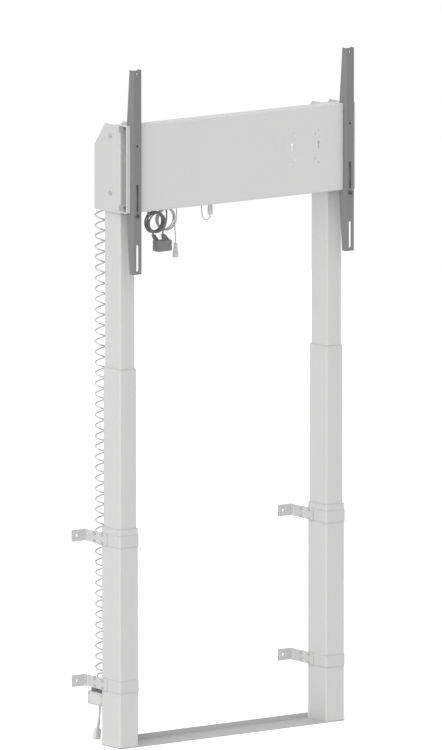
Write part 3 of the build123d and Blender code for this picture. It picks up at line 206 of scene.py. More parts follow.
def noise(tree, vector, scale, detail=3.0, roughness=0.55):
    """A noise texture's value on the given coordinates."""
    node = tree.nodes.new("ShaderNodeTexNoise")
    node.inputs["Detail"].default_value = detail
    node.inputs["Roughness"].default_value = roughness
    tree.links.new(vector, node.inputs["Vector"])
    if isinstance(scale, float):
        node.inputs["Scale"].default_value = scale
    else:
        tree.links.new(scale, node.inputs["Scale"])
    return node.outputs["Fac"]


def spread(tree, value, low, high, to_low=0.0, to_high=1.0):
    """A value stretched from one range to another and clamped."""
    node = tree.nodes.new("ShaderNodeMapRange")
    tree.links.new(value, node.inputs["Value"])
    node.inputs["From Min"].default_value = low
    node.inputs["From Max"].default_value = high
    for label, bound in (("To Min", to_low), ("To Max", to_high)):
        if isinstance(bound, (int, float)):
            node.inputs[label].default_value = bound
        else:
            tree.links.new(bound, node.inputs[label])
    return node.outputs["Result"]


def arithmetic(tree, operation, first, second):
    """One step of arithmetic on two values, either of them a plain number."""
    node = tree.nodes.new("ShaderNodeMath")
    node.operation = operation
    for socket, value in zip(node.inputs, (first, second)):
        if isinstance(value, (int, float)):
            socket.default_value = value
        else:
            tree.links.new(value, socket)
    return node.outputs[0]


def blended(tree, factor, first, second):
    """Two colours mixed by a mask."""
    node = tree.nodes.new("ShaderNodeMix")
    node.data_type = "RGBA"
    sockets = [socket for socket in node.inputs if socket.type == "RGBA"]
    tree.links.new(factor, node.inputs["Factor"])
    for socket, value in zip(sockets, (first, second)):
        if isinstance(value, tuple):
            socket.default_value = value
        else:
            tree.links.new(value, socket)
    return next(socket for socket in node.outputs if socket.type == "RGBA")


def dimmed(tree, colour, factor, share):
    """A colour brought down to a share of itself where the mask is full."""
    node = tree.nodes.new("ShaderNodeHueSaturation")
    tree.links.new(colour, node.inputs["Color"])
    value = spread(tree, factor, low=0.0, high=1.0, to_low=1.0, to_high=share)
    tree.links.new(value, node.inputs["Value"])
    return node.outputs["Color"]


def seen_by(tree, first, *others):
    """A mask of the kinds of ray that are named."""
    path = tree.nodes.new("ShaderNodeLightPath")
    mask = path.outputs[first]
    for ray in others:
        mask = arithmetic(tree, "MAXIMUM", mask, path.outputs[ray])
    return mask


def rubbed_edges():
    """Mask of the worn edges, and the normal that rounds them."""
    group, entry, leave = new_group(
        "Rubbed edges",
        [("Vector", "Vector", None), ("Radius", "Float", 0.0012)],
        [("Mask", "Float"), ("Normal", "Vector")],
    )
    bevel = group.nodes.new("ShaderNodeBevel")
    bevel.samples = 4
    group.links.new(entry.outputs["Radius"], bevel.inputs["Radius"])
    surface = group.nodes.new("ShaderNodeNewGeometry")
    compare = group.nodes.new("ShaderNodeVectorMath")
    compare.operation = "DOT_PRODUCT"
    group.links.new(bevel.outputs["Normal"], compare.inputs[0])
    group.links.new(surface.outputs["Normal"], compare.inputs[1])
    edge = spread(group, compare.outputs["Value"], low=0.995, high=0.90)
    rubs = noise(group, entry.outputs["Vector"], scale=45.0)
    patches = spread(group, rubs, low=0.42, high=0.62)
    mask = arithmetic(group, "MULTIPLY", edge, patches)
    group.links.new(mask, leave.inputs["Mask"])
    group.links.new(bevel.outputs["Normal"], leave.inputs["Normal"])


def powder_coat():
    """Fine orange peel, slight mottling and smears of a baked powder coat."""
    group, entry, leave = new_group(
        "Powder coat",
        [
            ("Vector", "Vector", None),
            ("Colour", "Color", (0.6, 0.6, 0.6, 1.0)),
            ("Peel Scale", "Float", 620.0),
            ("Mottle", "Float", 0.94),
            ("Gloss Low", "Float", 0.38),
            ("Gloss High", "Float", 0.52),
        ],
        [("Colour", "Color"), ("Roughness", "Float"), ("Height", "Float")],
    )
    vector = entry.outputs["Vector"]
    clouds = spread(group, noise(group, vector, scale=5.0, detail=4.0), low=0.35, high=0.70)
    specks = spread(group, noise(group, vector, scale=240.0, detail=2.0), low=0.45, high=0.75)
    mixed = arithmetic(group, "MULTIPLY", clouds, specks)
    shade = dimmed(group, entry.outputs["Colour"], mixed, entry.outputs["Mottle"])
    group.links.new(shade, leave.inputs["Colour"])
    smears = noise(group, vector, scale=9.0, detail=5.0, roughness=0.65)
    gloss = spread(
        group,
        smears,
        low=0.3,
        high=0.7,
        to_low=entry.outputs["Gloss Low"],
        to_high=entry.outputs["Gloss High"],
    )
    group.links.new(gloss, leave.inputs["Roughness"])
    peel = noise(group, vector, entry.outputs["Peel Scale"], detail=2.0)
    group.links.new(peel, leave.inputs["Height"])


def drawn_metal():
    """Fine lines and tarnish of drawn, turned or plated metal."""
    group, entry, leave = new_group(
        "Drawn metal",
        [
            ("Vector", "Vector", None),
            ("Colour", "Color", (0.5, 0.5, 0.5, 1.0)),
            ("Stretch", "Vector", (400.0, 400.0, 2400.0)),
            ("Tarnish", "Float", 0.8),
        ],
        [("Colour", "Color"), ("Roughness", "Float"), ("Height", "Float")],
    )
    stretch = group.nodes.new("ShaderNodeVectorMath")
    stretch.operation = "MULTIPLY"
    group.links.new(entry.outputs["Vector"], stretch.inputs[0])
    group.links.new(entry.outputs["Stretch"], stretch.inputs[1])
    lines = noise(group, stretch.outputs["Vector"], scale=1.0, detail=2.0)
    blooms = noise(group, entry.outputs["Vector"], scale=90.0, detail=4.0)
    stains = spread(group, blooms, low=0.4, high=0.7)
    shade = dimmed(group, entry.outputs["Colour"], stains, entry.outputs["Tarnish"])
    group.links.new(shade, leave.inputs["Colour"])
    gloss = spread(group, lines, low=0.2, high=0.8, to_low=0.26, to_high=0.46)
    group.links.new(gloss, leave.inputs["Roughness"])
    group.links.new(lines, leave.inputs["Height"])


def moulded_grain():
    """Spark-eroded grain and slight flow shading of moulded plastic."""
    group, entry, leave = new_group(
        "Moulded grain",
        [
            ("Vector", "Vector", None),
            ("Colour", "Color", (0.5, 0.5, 0.5, 1.0)),
            ("Grain Scale", "Float", 900.0),
            ("Flow", "Float", 0.93),
        ],
        [("Colour", "Color"), ("Roughness", "Float"), ("Height", "Float")],
    )
    vector = entry.outputs["Vector"]
    flow = spread(group, noise(group, vector, scale=28.0), low=0.35, high=0.7)
    shade = dimmed(group, entry.outputs["Colour"], flow, entry.outputs["Flow"])
    group.links.new(shade, leave.inputs["Colour"])
    grain = noise(group, vector, entry.outputs["Grain Scale"], detail=1.0, roughness=0.4)
    handling = noise(group, vector, scale=40.0)
    gloss = spread(group, handling, low=0.3, high=0.7, to_low=0.44, to_high=0.6)
    group.links.new(gloss, leave.inputs["Roughness"])
    group.links.new(grain, leave.inputs["Height"])


def build_groups():
    """Every shared group, made once."""
    for make in (rubbed_edges, powder_coat, drawn_metal, moulded_grain):
        make()


def textured(name, group_name, colour, values, edge_colour, bump, metallic, coat):
    """A finish: a shared group for colour, gloss and height, over rounded and rubbed edges."""
    material = bpy.data.materials.new(name)
    material.use_nodes = True
    tree = material.node_tree
    shader = tree.nodes["Principled BSDF"]
    shader.inputs["Metallic"].default_value = metallic
    shader.inputs["Coat Weight"].default_value = coat
    place = tree.nodes.new("ShaderNodeTexCoord")
    surface = tree.nodes.new("ShaderNodeGroup")
    surface.node_tree = bpy.data.node_groups[group_name]
    surface.inputs["Colour"].default_value = (*colour, 1.0)
    for label, value in values.items():
        surface.inputs[label].default_value = value
    edges = tree.nodes.new("ShaderNodeGroup")
    edges.node_tree = bpy.data.node_groups["Rubbed edges"]
    for node in (surface, edges):
        tree.links.new(place.outputs["Object"], node.inputs["Vector"])
    worn = blended(tree, edges.outputs["Mask"], surface.outputs["Colour"], (*edge_colour, 1.0))
    tree.links.new(worn, shader.inputs["Base Color"])
    tree.links.new(surface.outputs["Roughness"], shader.inputs["Roughness"])
    relief = tree.nodes.new("ShaderNodeBump")
    relief.inputs["Strength"].default_value = bump
    relief.inputs["Distance"].default_value = BUMP_DISTANCE
    tree.links.new(surface.outputs["Height"], relief.inputs["Height"])
    tree.links.new(edges.outputs["Normal"], relief.inputs["Normal"])
    tree.links.new(relief.outputs["Normal"], shader.inputs["Normal"])
    material.diffuse_color = (*colour, 1.0)


def lighter(colour, share):
    """A colour moved a share of the way to white."""
    return tuple(part + (1.0 - part) * share for part in colour)


COAT = "Powder coat"
METAL = "Drawn metal"
GRAIN = "Moulded grain"
SHEET = {"Mottle": 0.95}
JACKET = {"Grain Scale": 1500.0, "Flow": 0.9}
# A finish, its shared group, its colour's setting, its own values in the group, how far its worn
# edges go to white, its bump, its share of metal and its weight of clear coat
FINISHES = (
    ("column_coat", COAT, "column", SHEET, 0.18, 0.22, 0.0, 0.05),
    ("crossbar_coat", COAT, "crossbar", SHEET, 0.18, 0.22, 0.0, 0.05),
    ("bracket_coat", COAT, "bracket", SHEET, 0.18, 0.22, 0.0, 0.05),
    ("tray_coat", COAT, "tray", {"Mottle": 0.9}, 0.2, 0.3, 0.0, 0.0),
    ("arm_coat", COAT, "arm", {"Mottle": 0.86, "Gloss Low": 0.42, "Gloss High": 0.58}, 0.16, 0.3, 0.0, 0.0),
    ("plated_zinc", METAL, "zinc", {}, 0.4, 0.15, 0.85, 0.0),
    ("black_zinc", METAL, "black_zinc", {}, 0.2, 0.15, 0.6, 0.0),
    ("turned_steel", METAL, "steel", {"Stretch": (90.0, 90.0, 3200.0)}, 0.4, 0.2, 1.0, 0.0),
    ("turned_brass", METAL, "brass", {}, 0.3, 0.15, 1.0, 0.0),
    ("pale_moulding", GRAIN, "pale_plastic", {}, 0.1, 0.2, 0.0, 0.0),
    ("dark_moulding", GRAIN, "dark_plastic", {}, 0.06, 0.3, 0.0, 0.0),
    ("motor_coat", COAT, "casing", {"Mottle": 0.85}, 0.2, 0.25, 0.0, 0.0),
    ("pale_jacket", GRAIN, "pale_cord", JACKET, 0.04, 0.15, 0.0, 0.0),
    ("dark_jacket", GRAIN, "dark_cord", JACKET, 0.04, 0.15, 0.0, 0.0),
)


def build_finishes(finishes):
    """Every material of the lift."""
    for name, group_name, setting, values, wear, bump, metallic, coat in FINISHES:
        colour = getattr(finishes, setting)
        textured(name, group_name, colour, values, lighter(colour, wear), bump, metallic, coat)


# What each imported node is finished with; the rest have the column's coat
NODE_FINISH = {
    "base_tray": "tray_coat",
    "base_tray_screws": "plated_zinc",
    "foot_plates": "plated_zinc",
    "outer_glides": "pale_moulding",
    "support_tubes": "plated_zinc",
    "fixed_nuts": "turned_brass",
    "column_straps_left": "bracket_coat",
    "column_straps_right": "bracket_coat",
    "wall_brackets_left": "bracket_coat",
    "wall_brackets_right": "bracket_coat",
    "strap_screws": "plated_zinc",
    "junction_box": "pale_moulding",
    "junction_box_cover": "pale_moulding",
    "junction_box_screws": "plated_zinc",
    "inner_glide_pads": "pale_moulding",
    "tube_caps": "pale_moulding",
    "gearboxes": "motor_coat",
    "motors": "motor_coat",
    "head_bracket_left": "bracket_coat",
    "head_bracket_right": "bracket_coat",
    "head_screws": "plated_zinc",
    "crossbar": "crossbar_coat",
    "crossbar_screws": "plated_zinc",
    "control_box": "pale_moulding",
    "control_box_cover": "pale_moulding",
    "cord_grommets": "dark_moulding",
}
for side in SIDES:
    NODE_FINISH[f"mid_glides_{side}"] = "pale_moulding"
    NODE_FINISH[f"spindle_carrier_{side}"] = "plated_zinc"
    NODE_FINISH[f"hollow_spindle_{side}"] = "turned_steel"
    NODE_FINISH[f"drive_spindle_{side}"] = "turned_steel"
    NODE_FINISH[f"screen_arm_{side}"] = "arm_coat"
    NODE_FINISH[f"arm_clamp_{side}"] = "arm_coat"
    NODE_FINISH[f"lock_screw_{side}"] = "black_zinc"


def body_of(node):
    """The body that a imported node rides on."""
    return frame["nodes"][node]["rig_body"]


def stand_in(piece, node, finish):
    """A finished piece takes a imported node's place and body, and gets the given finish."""
    piece.data.materials.append(bpy.data.materials[finish])
    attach(piece, body_of(node))
    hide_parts(node)
    return piece


def add_object(name, data):
    """A new object of the scene, at the origin."""
    piece = bpy.data.objects.new(name, data)
    bpy.context.scene.collection.objects.link(piece)
    return piece


def add_aimed(name, data, direction):
    """A new camera or lamp that looks along a direction."""
    piece = add_object(name, data)
    piece.rotation_mode = "QUATERNION"
    piece.rotation_quaternion = direction.to_track_quat("-Z", "Y")
    return piece


def to_piece(name, form):
    """A bmesh made into a closed, outward-facing object at the origin."""
    bmesh.ops.remove_doubles(form, verts=form.verts[:], dist=WELD_DISTANCE)
    bmesh.ops.recalc_face_normals(form, faces=form.faces[:])
    mesh = bpy.data.meshes.new(name)
    form.to_mesh(mesh)
    form.free()
    mesh.shade_smooth()
    mesh.set_sharp_from_angle(angle=SHARP_ANGLE)
    return add_object(name, mesh)


def add_block(form, low, high, radius, segments=3, taper=1.0):
    """A box between two corners with rounded edges; taper is its top's size as a share of its foot's."""
    low, high = Vector(low) * MM, Vector(high) * MM
    size = high - low
    made = bmesh.ops.create_cube(form, size=1.0, matrix=Matrix.Diagonal((*size, 1.0)))["verts"]
    for vert in made:
        if vert.co.z > 0:
            vert.co.x *= taper
            vert.co.y *= taper
    edges = list({edge for vert in made for edge in vert.link_edges})
    result = bmesh.ops.bevel(
        form,
        geom=edges,
        offset=radius * MM,
        segments=segments,
        profile=0.5,
        affect="EDGES",
        material=-1,
        clamp_overlap=True,
    )
    verts = list({vert for face in result["faces"] for vert in face.verts})
    bmesh.ops.translate(form, verts=verts, vec=(low + high) / 2)


def add_body(form, foot, size, low, high, radius, **shape):
    """A block of a width and a depth, centred over a foot, between two heights above it."""
    half = Vector((size[0] / 2, size[1] / 2, 0.0))
    up = Vector((0.0, 0.0, 1.0))
    add_block(form, foot - half + up * low, foot + half + up * high, radius, **shape)


def add_turned(form, profile, steps=32):
    """A closed turned form round the Z axis from (radius, height) pairs in millimetres."""
    verts = [form.verts.new((radius * MM, 0.0, height * MM)) for radius, height in profile]
    edges = [form.edges.new(pair) for pair in zip(verts, verts[1:])]
    bmesh.ops.spin(
        form,
        geom=verts + edges,
        cent=(0.0, 0.0, 0.0),
        axis=(0.0, 0.0, 1.0),
        angle=2 * pi,
        steps=steps,
        use_merge=True,
        use_duplicate=False,
    )


def hollow_face(form, direction, rim, depth):
    """The widest face that looks one way is set in by a rim and sunk."""
    faces = [face for face in form.faces if face.normal.dot(Vector(direction)) > FACING]
    face = max(faces, key=lambda one: one.calc_area())
    bmesh.ops.inset_region(form, faces=[face], thickness=rim * MM, use_even_offset=True)
    floor = bmesh.ops.extrude_face_region(form, geom=[face])["geom"]
    bmesh.ops.delete(form, geom=[face], context="FACES_ONLY")
    verts = [part for part in floor if isinstance(part, bmesh.types.BMVert)]
    bmesh.ops.translate(form, verts=verts, vec=Vector(direction) * -depth * MM)


def add_form(form, other):
    """Take another bmesh in, and free it."""
    mesh = bpy.data.meshes.new("part")
    other.to_mesh(mesh)
    other.free()
    form.from_mesh(mesh)
    bpy.data.meshes.remove(mesh)


# Cords: places and measures in millimetres, as in the imported model

# Two sockets on the junction box: the rear one holds the curly cord's plug
SOCKET_X = -399.23
SOCKET_FOOT, SOCKET_TOP = 158.0, 168.0
SOCKET_SIZE = (28.0, 28.0)
SOCKET_SPACING = 33.0
SLITS = (Vector((-5.0, 0.0, 0.0)), Vector((0.0, 4.0, 0.0)), Vector((5.0, 0.0, 0.0)))
SLIT_SIZE = (1.6, 4.8)

PLUG_HEIGHT = 26.0
CURL_AXIS = Vector((-401.0, 87.5, 0.0))
CURL_FOOT, CURL_TOP = 212.0, 1654.6
CURL_TURNS = 44.25
CURL_START = radians(45)
CURL_PLUG = Vector((-399.232, 106.238, SOCKET_TOP + PLUG_HEIGHT))
CURL_GLAND = Vector((-399.232, 68.762, 1676.6))
CURL_FACETS = 2

# The gland: a six-sided nut, with a collar and a rounded tip turned over it
GLAND_NUT_RADIUS = 7.0
GLAND_NUT_HEIGHT = 15.1
GLAND_NUT_EDGE = 0.7
GLAND_PROFILE = [(0.0, 10.0), (5.0, 10.0), (5.0, 23.0), (4.3, 25.0), (3.4, 26.0), (0.0, 26.0)]

# Where the cords leave the grommets, and how many loops hang in each pile
GROMMET_FACE = -51.9
LOOPS = 4
POWER_CENTRE = Vector((-277.0, -30.0, 1619.0))
POWER_EXIT = Vector((-310.0, GROMMET_FACE, 1706.0))
POWER_POINTS_IN = [
    POWER_EXIT,
    Vector((-310.0, -46.6, 1706.0)),
    Vector((-310.0, -40.4, 1704.0)),
    Vector((-310.2, -38.7, 1697.0)),
    Vector((-310.4, -38.7, 1680.0)),
    Vector((-310.7, -38.7, 1658.0)),
    Vector((-311.0, -38.7, 1637.0)),
]
POWER_POINTS_OUT = [
    Vector((-292.4, -21.3, 1588.9)),
    Vector((-285.0, -21.3, 1586.8)),
    Vector((-280.0, -21.3, 1585.6)),
    Vector((-279.0, -21.3, 1579.0)),
]
RISER_POINTS = [
    Vector((-236.0, GROMMET_FACE, 1706.0)),
    Vector((-236.0, -43.0, 1706.0)),
    Vector((-236.0, -35.2, 1701.5)),
    Vector((-236.0, -30.7, 1693.7)),
    Vector((-236.0, -30.0, 1676.0)),
    Vector((-235.5, -30.5, 1650.0)),
    Vector((-235.3, -30.0, 1626.0)),
    Vector((-237.7, -30.0, 1611.0)),
    Vector((-242.8, -30.0, 1599.5)),
    Vector((-249.0, -30.0, 1589.0)),
    Vector((-249.0, -30.0, 1579.0)),
]
SIGNAL_CENTRE = Vector((-221.0, -6.0, 1620.0))
SIGNAL_EXIT = Vector((-186.0, GROMMET_FACE, 1712.0))
SIGNAL_POINTS_IN = [
    SIGNAL_EXIT,
    Vector((-186.0, -45.5, 1712.0)),
    Vector((-186.0, -34.0, 1710.5)),
    Vector((-186.0, -22.5, 1704.0)),
    Vector((-186.0, -14.6, 1692.0)),
    Vector((-186.0, -12.5, 1676.0)),
    Vector((-185.6, -12.4, 1657.0)),
    Vector((-185.1, -12.4, 1637.5)),
]
SIGNAL_POINTS_OUT = [
    Vector((-184.4, 0.4, 1603.0)),
    Vector((-182.4, 0.4, 1587.0)),
    Vector((-180.6, 0.4, 1571.0)),
    Vector((-180.0, 0.45, 1555.0)),
    Vector((-180.0, 0.45, 1541.0)),
]
SERVICE_POINTS = [
    Vector((-105.5, GROMMET_FACE, 1706.0)),
    Vector((-105.5, -43.0, 1706.0)),
    Vector((-105.5, -36.5, 1702.0)),
    Vector((-105.5, -32.8, 1695.5)),
    Vector((-106.0, -32.5, 1681.0)),
    Vector((-106.8, -33.5, 1663.0)),
    Vector((-107.2, -35.0, 1646.0)),
    Vector((-107.0, -36.8, 1632.0)),
    Vector((-106.2, -38.3, 1620.7)),
    Vector((-103.2, -41.8, 1614.2)),
    Vector((-98.4, -47.5, 1611.8)),
    Vector((-93.6, -53.3, 1614.2)),
    Vector((-90.6, -57.0, 1620.7)),
    Vector((-90.6, -57.0, 1628.7)),
]
HEAD_LEAD_POINTS = [
    Vector((-399.232, 68.762, 1702.6)),
    Vector((-399.232, 68.762, 1713.5)),
    Vector((-396.3, 69.0, 1723.5)),
    Vector((-389.0, 68.3, 1731.5)),
    Vector((-378.5, 66.2, 1736.0)),
    Vector((-366.0, 64.0, 1737.5)),
    Vector((-355.0, 62.0, 1737.7)),
    Vector((-341.0, 60.5, 1737.0)),
    Vector((-329.0, 53.0, 1736.0)),
    Vector((-322.0, 40.0, 1734.5)),
    Vector((-320.0, 22.0, 1732.5)),
    Vector((-319.5, -4.0, 1729.5)),
    Vector((-319.0, -30.0, 1725.8)),
    Vector((-319.0, GROMMET_FACE, 1725.8)),
]
MAINS_POINTS = [
    Vector((-398.5, 94.0, 120.5)),
    Vector((-398.5, 94.0, 90.0)),
    Vector((-400.5, 96.0, 69.0)),
]

# The power block is two shells with a groove between them, round a smaller core
BLOCK_LOW = Vector((-278.0, -45.0, 1527.0))
BLOCK_HIGH = Vector((-224.0, -15.0, 1561.0))
BLOCK_JOINT = 1546.0
BLOCK_GROOVE = 0.7
BLOCK_CORE_INSET = Vector((1.1, 1.1, 3.0))
COIL_RELIEF_FOOT = Vector((-268.0, -21.3, BLOCK_HIGH.z))
RISER_RELIEF_FOOT = Vector((-238.0, -30.0, BLOCK_HIGH.z))

# The two flat, ribbed reliefs on the power block
RELIEF_HEIGHT = 18.0
RELIEF_DEPTH = 9.0
RELIEF_LEAN = 11.0
RELIEF_RIBS = 6
RELIEF_OVERLAP = 1.0
RELIEF_GROOVE = 0.7
RELIEF_GROOVE_DEPTH = 0.9
RELIEF_EDGE = 0.8

# The signal cord's plug, and the service connector's latch from the middle of its foot
SIGNAL_PLUG_FOOT = Vector((-180.0, 0.45, 1497.0))
SERVICE_LATCH = Vector((0.0, -4.5, 0.0))

# The mains lead's connector flares beyond its neck and is a little flatter than it is wide
MAINS_RELIEF_HEIGHT = 28.0
CONNECTOR_SIZE = (18.0, 14.0)
CONNECTOR_LENGTH = 33.0
CONNECTOR_NECK = 16.0
CONNECTOR_FLARE = 0.18
CONNECTOR_FLATTENING = 0.96


def route_curve(name, points, thickness=0.0, facets=3):
    """A smooth open spline with the route's points as its control points."""
    data = bpy.data.curves.new(name, "CURVE")
    data.dimensions = "3D"
    data.bevel_depth = thickness / 2
    data.bevel_resolution = facets
    data.use_fill_caps = thickness > 0
    spline = data.splines.new("NURBS")
    spline.points.add(len(points) - 1)
    for point, place in zip(spline.points, points):
        point.co = (*(place * MM), 1.0)
    spline.order_u = 3
    spline.use_endpoint_u = True
    spline.resolution_u = 4
    return add_object(name, data)


def climb(turns):
    """Layers climbed after a number of turns: one in the half turn round each full turn."""
    height = 0.0
    for layer in range(1, LOOPS):
        share = min(max((turns - layer + 0.25) * 2, 0.0), 1.0)
        height += share * share * (3 - 2 * share)
    return height


def pile_points(centre, radius, pitch, way, start_angle, turns):
    """Points of a pile of loops that spirals in and out, one loop to a layer."""
    points = []
    for step in range(round(turns * POINTS_PER_TURN) + 1):
        turn = step / POINTS_PER_TURN
        inwards = abs((min(turn, LOOPS) + 1) % 2 - 1) - max(turn - LOOPS, 0)
        angle = start_angle + way * 2 * pi * turn
        around = (radius - pitch * inwards) / SPLINE_SHARE
        depth = (climb(turn) - (LOOPS - 1) / 2) * pitch
        points.append(centre + Vector((around * cos(angle), depth, around * sin(angle))))
    return points


def curl_points(radius):
    """Points of the curly cord: its lower tail, its evenly climbing turns and its upper tail."""
    points = [
        CURL_PLUG,
        CURL_PLUG + Vector((0.0, 0.0, 9.0)),
        CURL_PLUG + Vector((0.8, -0.8, 14.5)),
        CURL_PLUG + Vector((4.5, -4.5, 17.7)),
    ]
    around = radius / SPLINE_SHARE
    for step in range(round(CURL_TURNS * POINTS_PER_TURN) + 1):
        turn = step / POINTS_PER_TURN
        angle = CURL_START - 2 * pi * turn
        height = CURL_FOOT + (CURL_TOP - CURL_FOOT) * turn / CURL_TURNS
        points.append(CURL_AXIS + Vector((around * cos(angle), around * sin(angle), height)))
    points += [
        CURL_GLAND + Vector((4.1, 4.1, -20.8)),
        CURL_GLAND + Vector((0.7, 0.7, -17.0)),
        CURL_GLAND + Vector((0.0, 0.0, -9.0)),
        CURL_GLAND,
    ]
    return points


def ribbed(count, foot, pitch, radius, widening, groove, heights):
    """Profile of a relief's ribs; each one's groove and crest begin and end at the four heights."""
    profile = []
    for rib in range(count):
        crest = radius + rib * widening
        for inset, height in zip((groove, groove, 0.0, 0.0), heights):
            profile.append((crest - inset, foot + rib * pitch + height))
    return profile


def add_relief(form, foot, foot_width, end_width):
    """A ribbed flat relief that narrows and leans to the left as it rises from a foot."""
    for rib in range(RELIEF_RIBS):
        low = RELIEF_HEIGHT * rib / RELIEF_RIBS - (RELIEF_OVERLAP if rib == 0 else 0.0)
        high = RELIEF_HEIGHT * (rib + 1) / RELIEF_RIBS
        for top, slimmer in ((high - RELIEF_GROOVE, 0.0), (high, RELIEF_GROOVE_DEPTH)):
            share = (low + top) / 2 / RELIEF_HEIGHT
            centre = foot - Vector((RELIEF_LEAN * share, 0.0, 0.0))
            width = foot_width + (end_width - foot_width) * share
            size = (width - slimmer, RELIEF_DEPTH - slimmer)
            add_body(form, centre, size, low, top, RELIEF_EDGE, segments=2)


class LIFT_OT_stage(Operator):
    """Add the floor, the lamp, the surroundings and the camera"""

    bl_idname = "lift.stage"
    bl_label = "Stage"

    def execute(self, context):
        stage = context.scene.lift_stage
        kept = set(frame["nodes"].values()) | set(frame["bodies"].values())
        for piece in list(bpy.data.objects):
            if piece not in kept:
                bpy.data.objects.remove(piece)
        context.scene.view_settings.view_transform = "Standard"

        back = Vector(
            (
                sin(stage.azimuth) * cos(stage.elevation),
                -cos(stage.azimuth) * cos(stage.elevation),
                sin(stage.elevation),
            )
        )
        lens = bpy.data.cameras.new("camera")
        lens.lens = stage.lens
        lens.clip_start, lens.clip_end = CAMERA_CLIP
        camera = add_aimed("camera", lens, -back)
        camera.location = stage.place
        context.scene.camera = camera

        lamp = bpy.data.lights.new("key", "SUN")
        lamp.energy = stage.key
        lamp.angle = KEY_ANGLE
        add_aimed("key", lamp, KEY_DIRECTION)

        form = bmesh.new()
        bmesh.ops.create_circle(form, cap_ends=True, segments=FLOOR_SIDES, radius=FLOOR_RADIUS)
        floor = to_piece("floor", form)
        floor.location.z = -FLOOR_DROP
        floor.data.materials.append(self.floor_finish(stage))
        self.surroundings(context.scene, stage)
        return {"FINISHED"}

    def floor_finish(self, stage):
        """A pale floor that the camera sees as white where it is lit, with the shadow kept."""
        material = bpy.data.materials.new("studio_floor")
        material.use_nodes = True
        tree = material.node_tree
        shader = tree.nodes["Principled BSDF"]
        place = tree.nodes.new("ShaderNodeTexCoord")
        clouds = noise(tree, place.outputs["Object"], scale=3.0)
        shades = dimmed(tree, self.constant(tree, stage.floor), clouds, share=0.985)
        tree.links.new(shades, shader.inputs["Base Color"])
        shader.inputs["Roughness"].default_value = 0.9
        shader.inputs["Specular IOR Level"].default_value = 0.1
        shader.inputs["Emission Color"].default_value = WHITE
        seen = seen_by(tree, "Is Camera Ray", "Is Glossy Ray")
        glow = arithmetic(tree, "MULTIPLY", seen, FLOOR_GLOW)
        tree.links.new(glow, shader.inputs["Emission Strength"])
        return material

    def constant(self, tree, colour):
        """A plain colour as a node."""
        node = tree.nodes.new("ShaderNodeRGB")
        node.outputs[0].default_value = (*colour, 1.0)
        return node.outputs[0]

    def surroundings(self, scene, stage):
        """White behind the lift and in its reflections, and an even light on it."""
        world = bpy.data.worlds.new("studio")
        scene.world = world
        world.use_nodes = True
        tree = world.node_tree
        shown = tree.nodes["Background"]
        shown.inputs["Color"].default_value = WHITE
        shown.inputs["Strength"].default_value = 1.0
        light = tree.nodes.new("ShaderNodeBackground")
        light.inputs["Color"].default_value = WHITE
        light.inputs["Strength"].default_value = stage.ambient
        seen = seen_by(tree, "Is Camera Ray", "Is Glossy Ray", "Is Transmission Ray")
        mix = tree.nodes.new("ShaderNodeMixShader")
        tree.links.new(seen, mix.inputs["Fac"])
        tree.links.new(light.outputs["Background"], mix.inputs[1])
        tree.links.new(shown.outputs["Background"], mix.inputs[2])
        tree.links.new(mix.outputs["Shader"], tree.nodes["World Output"].inputs["Surface"])


class LIFT_OT_finishes(Operator):
    """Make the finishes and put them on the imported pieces"""

    bl_idname = "lift.finishes"
    bl_label = "Finishes"

    def execute(self, context):
        build_groups()
        build_finishes(context.scene.lift_finishes)
        for name, node in frame["nodes"].items():
            finish = bpy.data.materials[NODE_FINISH.get(name, "column_coat")]
            if not node.material_slots:
                node.data.materials.append(finish)
            for slot in node.material_slots:
                slot.material = finish
        return {"FINISHED"}


class LIFT_OT_curly_cord(Operator):
    """Add the curly cord behind the left column, with its ribbed plug"""

    bl_idname = "lift.curly_cord"
    bl_label = "Curly cord"

    def execute(self, context):
        cords = context.scene.lift_cords
        points = curl_points(cords.curl_radius / MM)
        guide = route_curve("curl_guide", points)
        line = bpy.data.meshes.new_from_object(guide)
        guide.data.bevel_depth = cords.curl_wire / 2
        guide.data.bevel_resolution = CURL_FACETS
        guide.data.use_fill_caps = True
        mesh = bpy.data.meshes.new_from_object(guide)
        bpy.data.objects.remove(guide)
        form = bmesh.new()
        form.from_mesh(mesh)
        piece = to_piece("curly_mains_cord", form)
        stand_in(piece, "curly_cord", "pale_jacket")

        form = bmesh.new()
        profile = [(0.0, 0.0), (8.4, 0.0), (9.0, 0.6), (9.0, 6.0), (8.2, 7.0)]
        profile += ribbed(
            5, foot=7.0, pitch=3.4, radius=8.1, widening=-0.75, groove=1.2, heights=(0.2, 1.2, 1.5, 3.2)
        )
        profile += [(3.6, PLUG_HEIGHT - 1.0), (3.2, PLUG_HEIGHT), (0.0, PLUG_HEIGHT)]
        add_turned(form, profile)
        foot = Vector((CURL_PLUG.x, CURL_PLUG.y, SOCKET_TOP))
        bmesh.ops.translate(form, verts=form.verts[:], vec=foot * MM)
        plug = stand_in(to_piece("curly_cord_relief", form), "curly_cord_plug", "pale_moulding")
        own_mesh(piece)
        return {"FINISHED"}


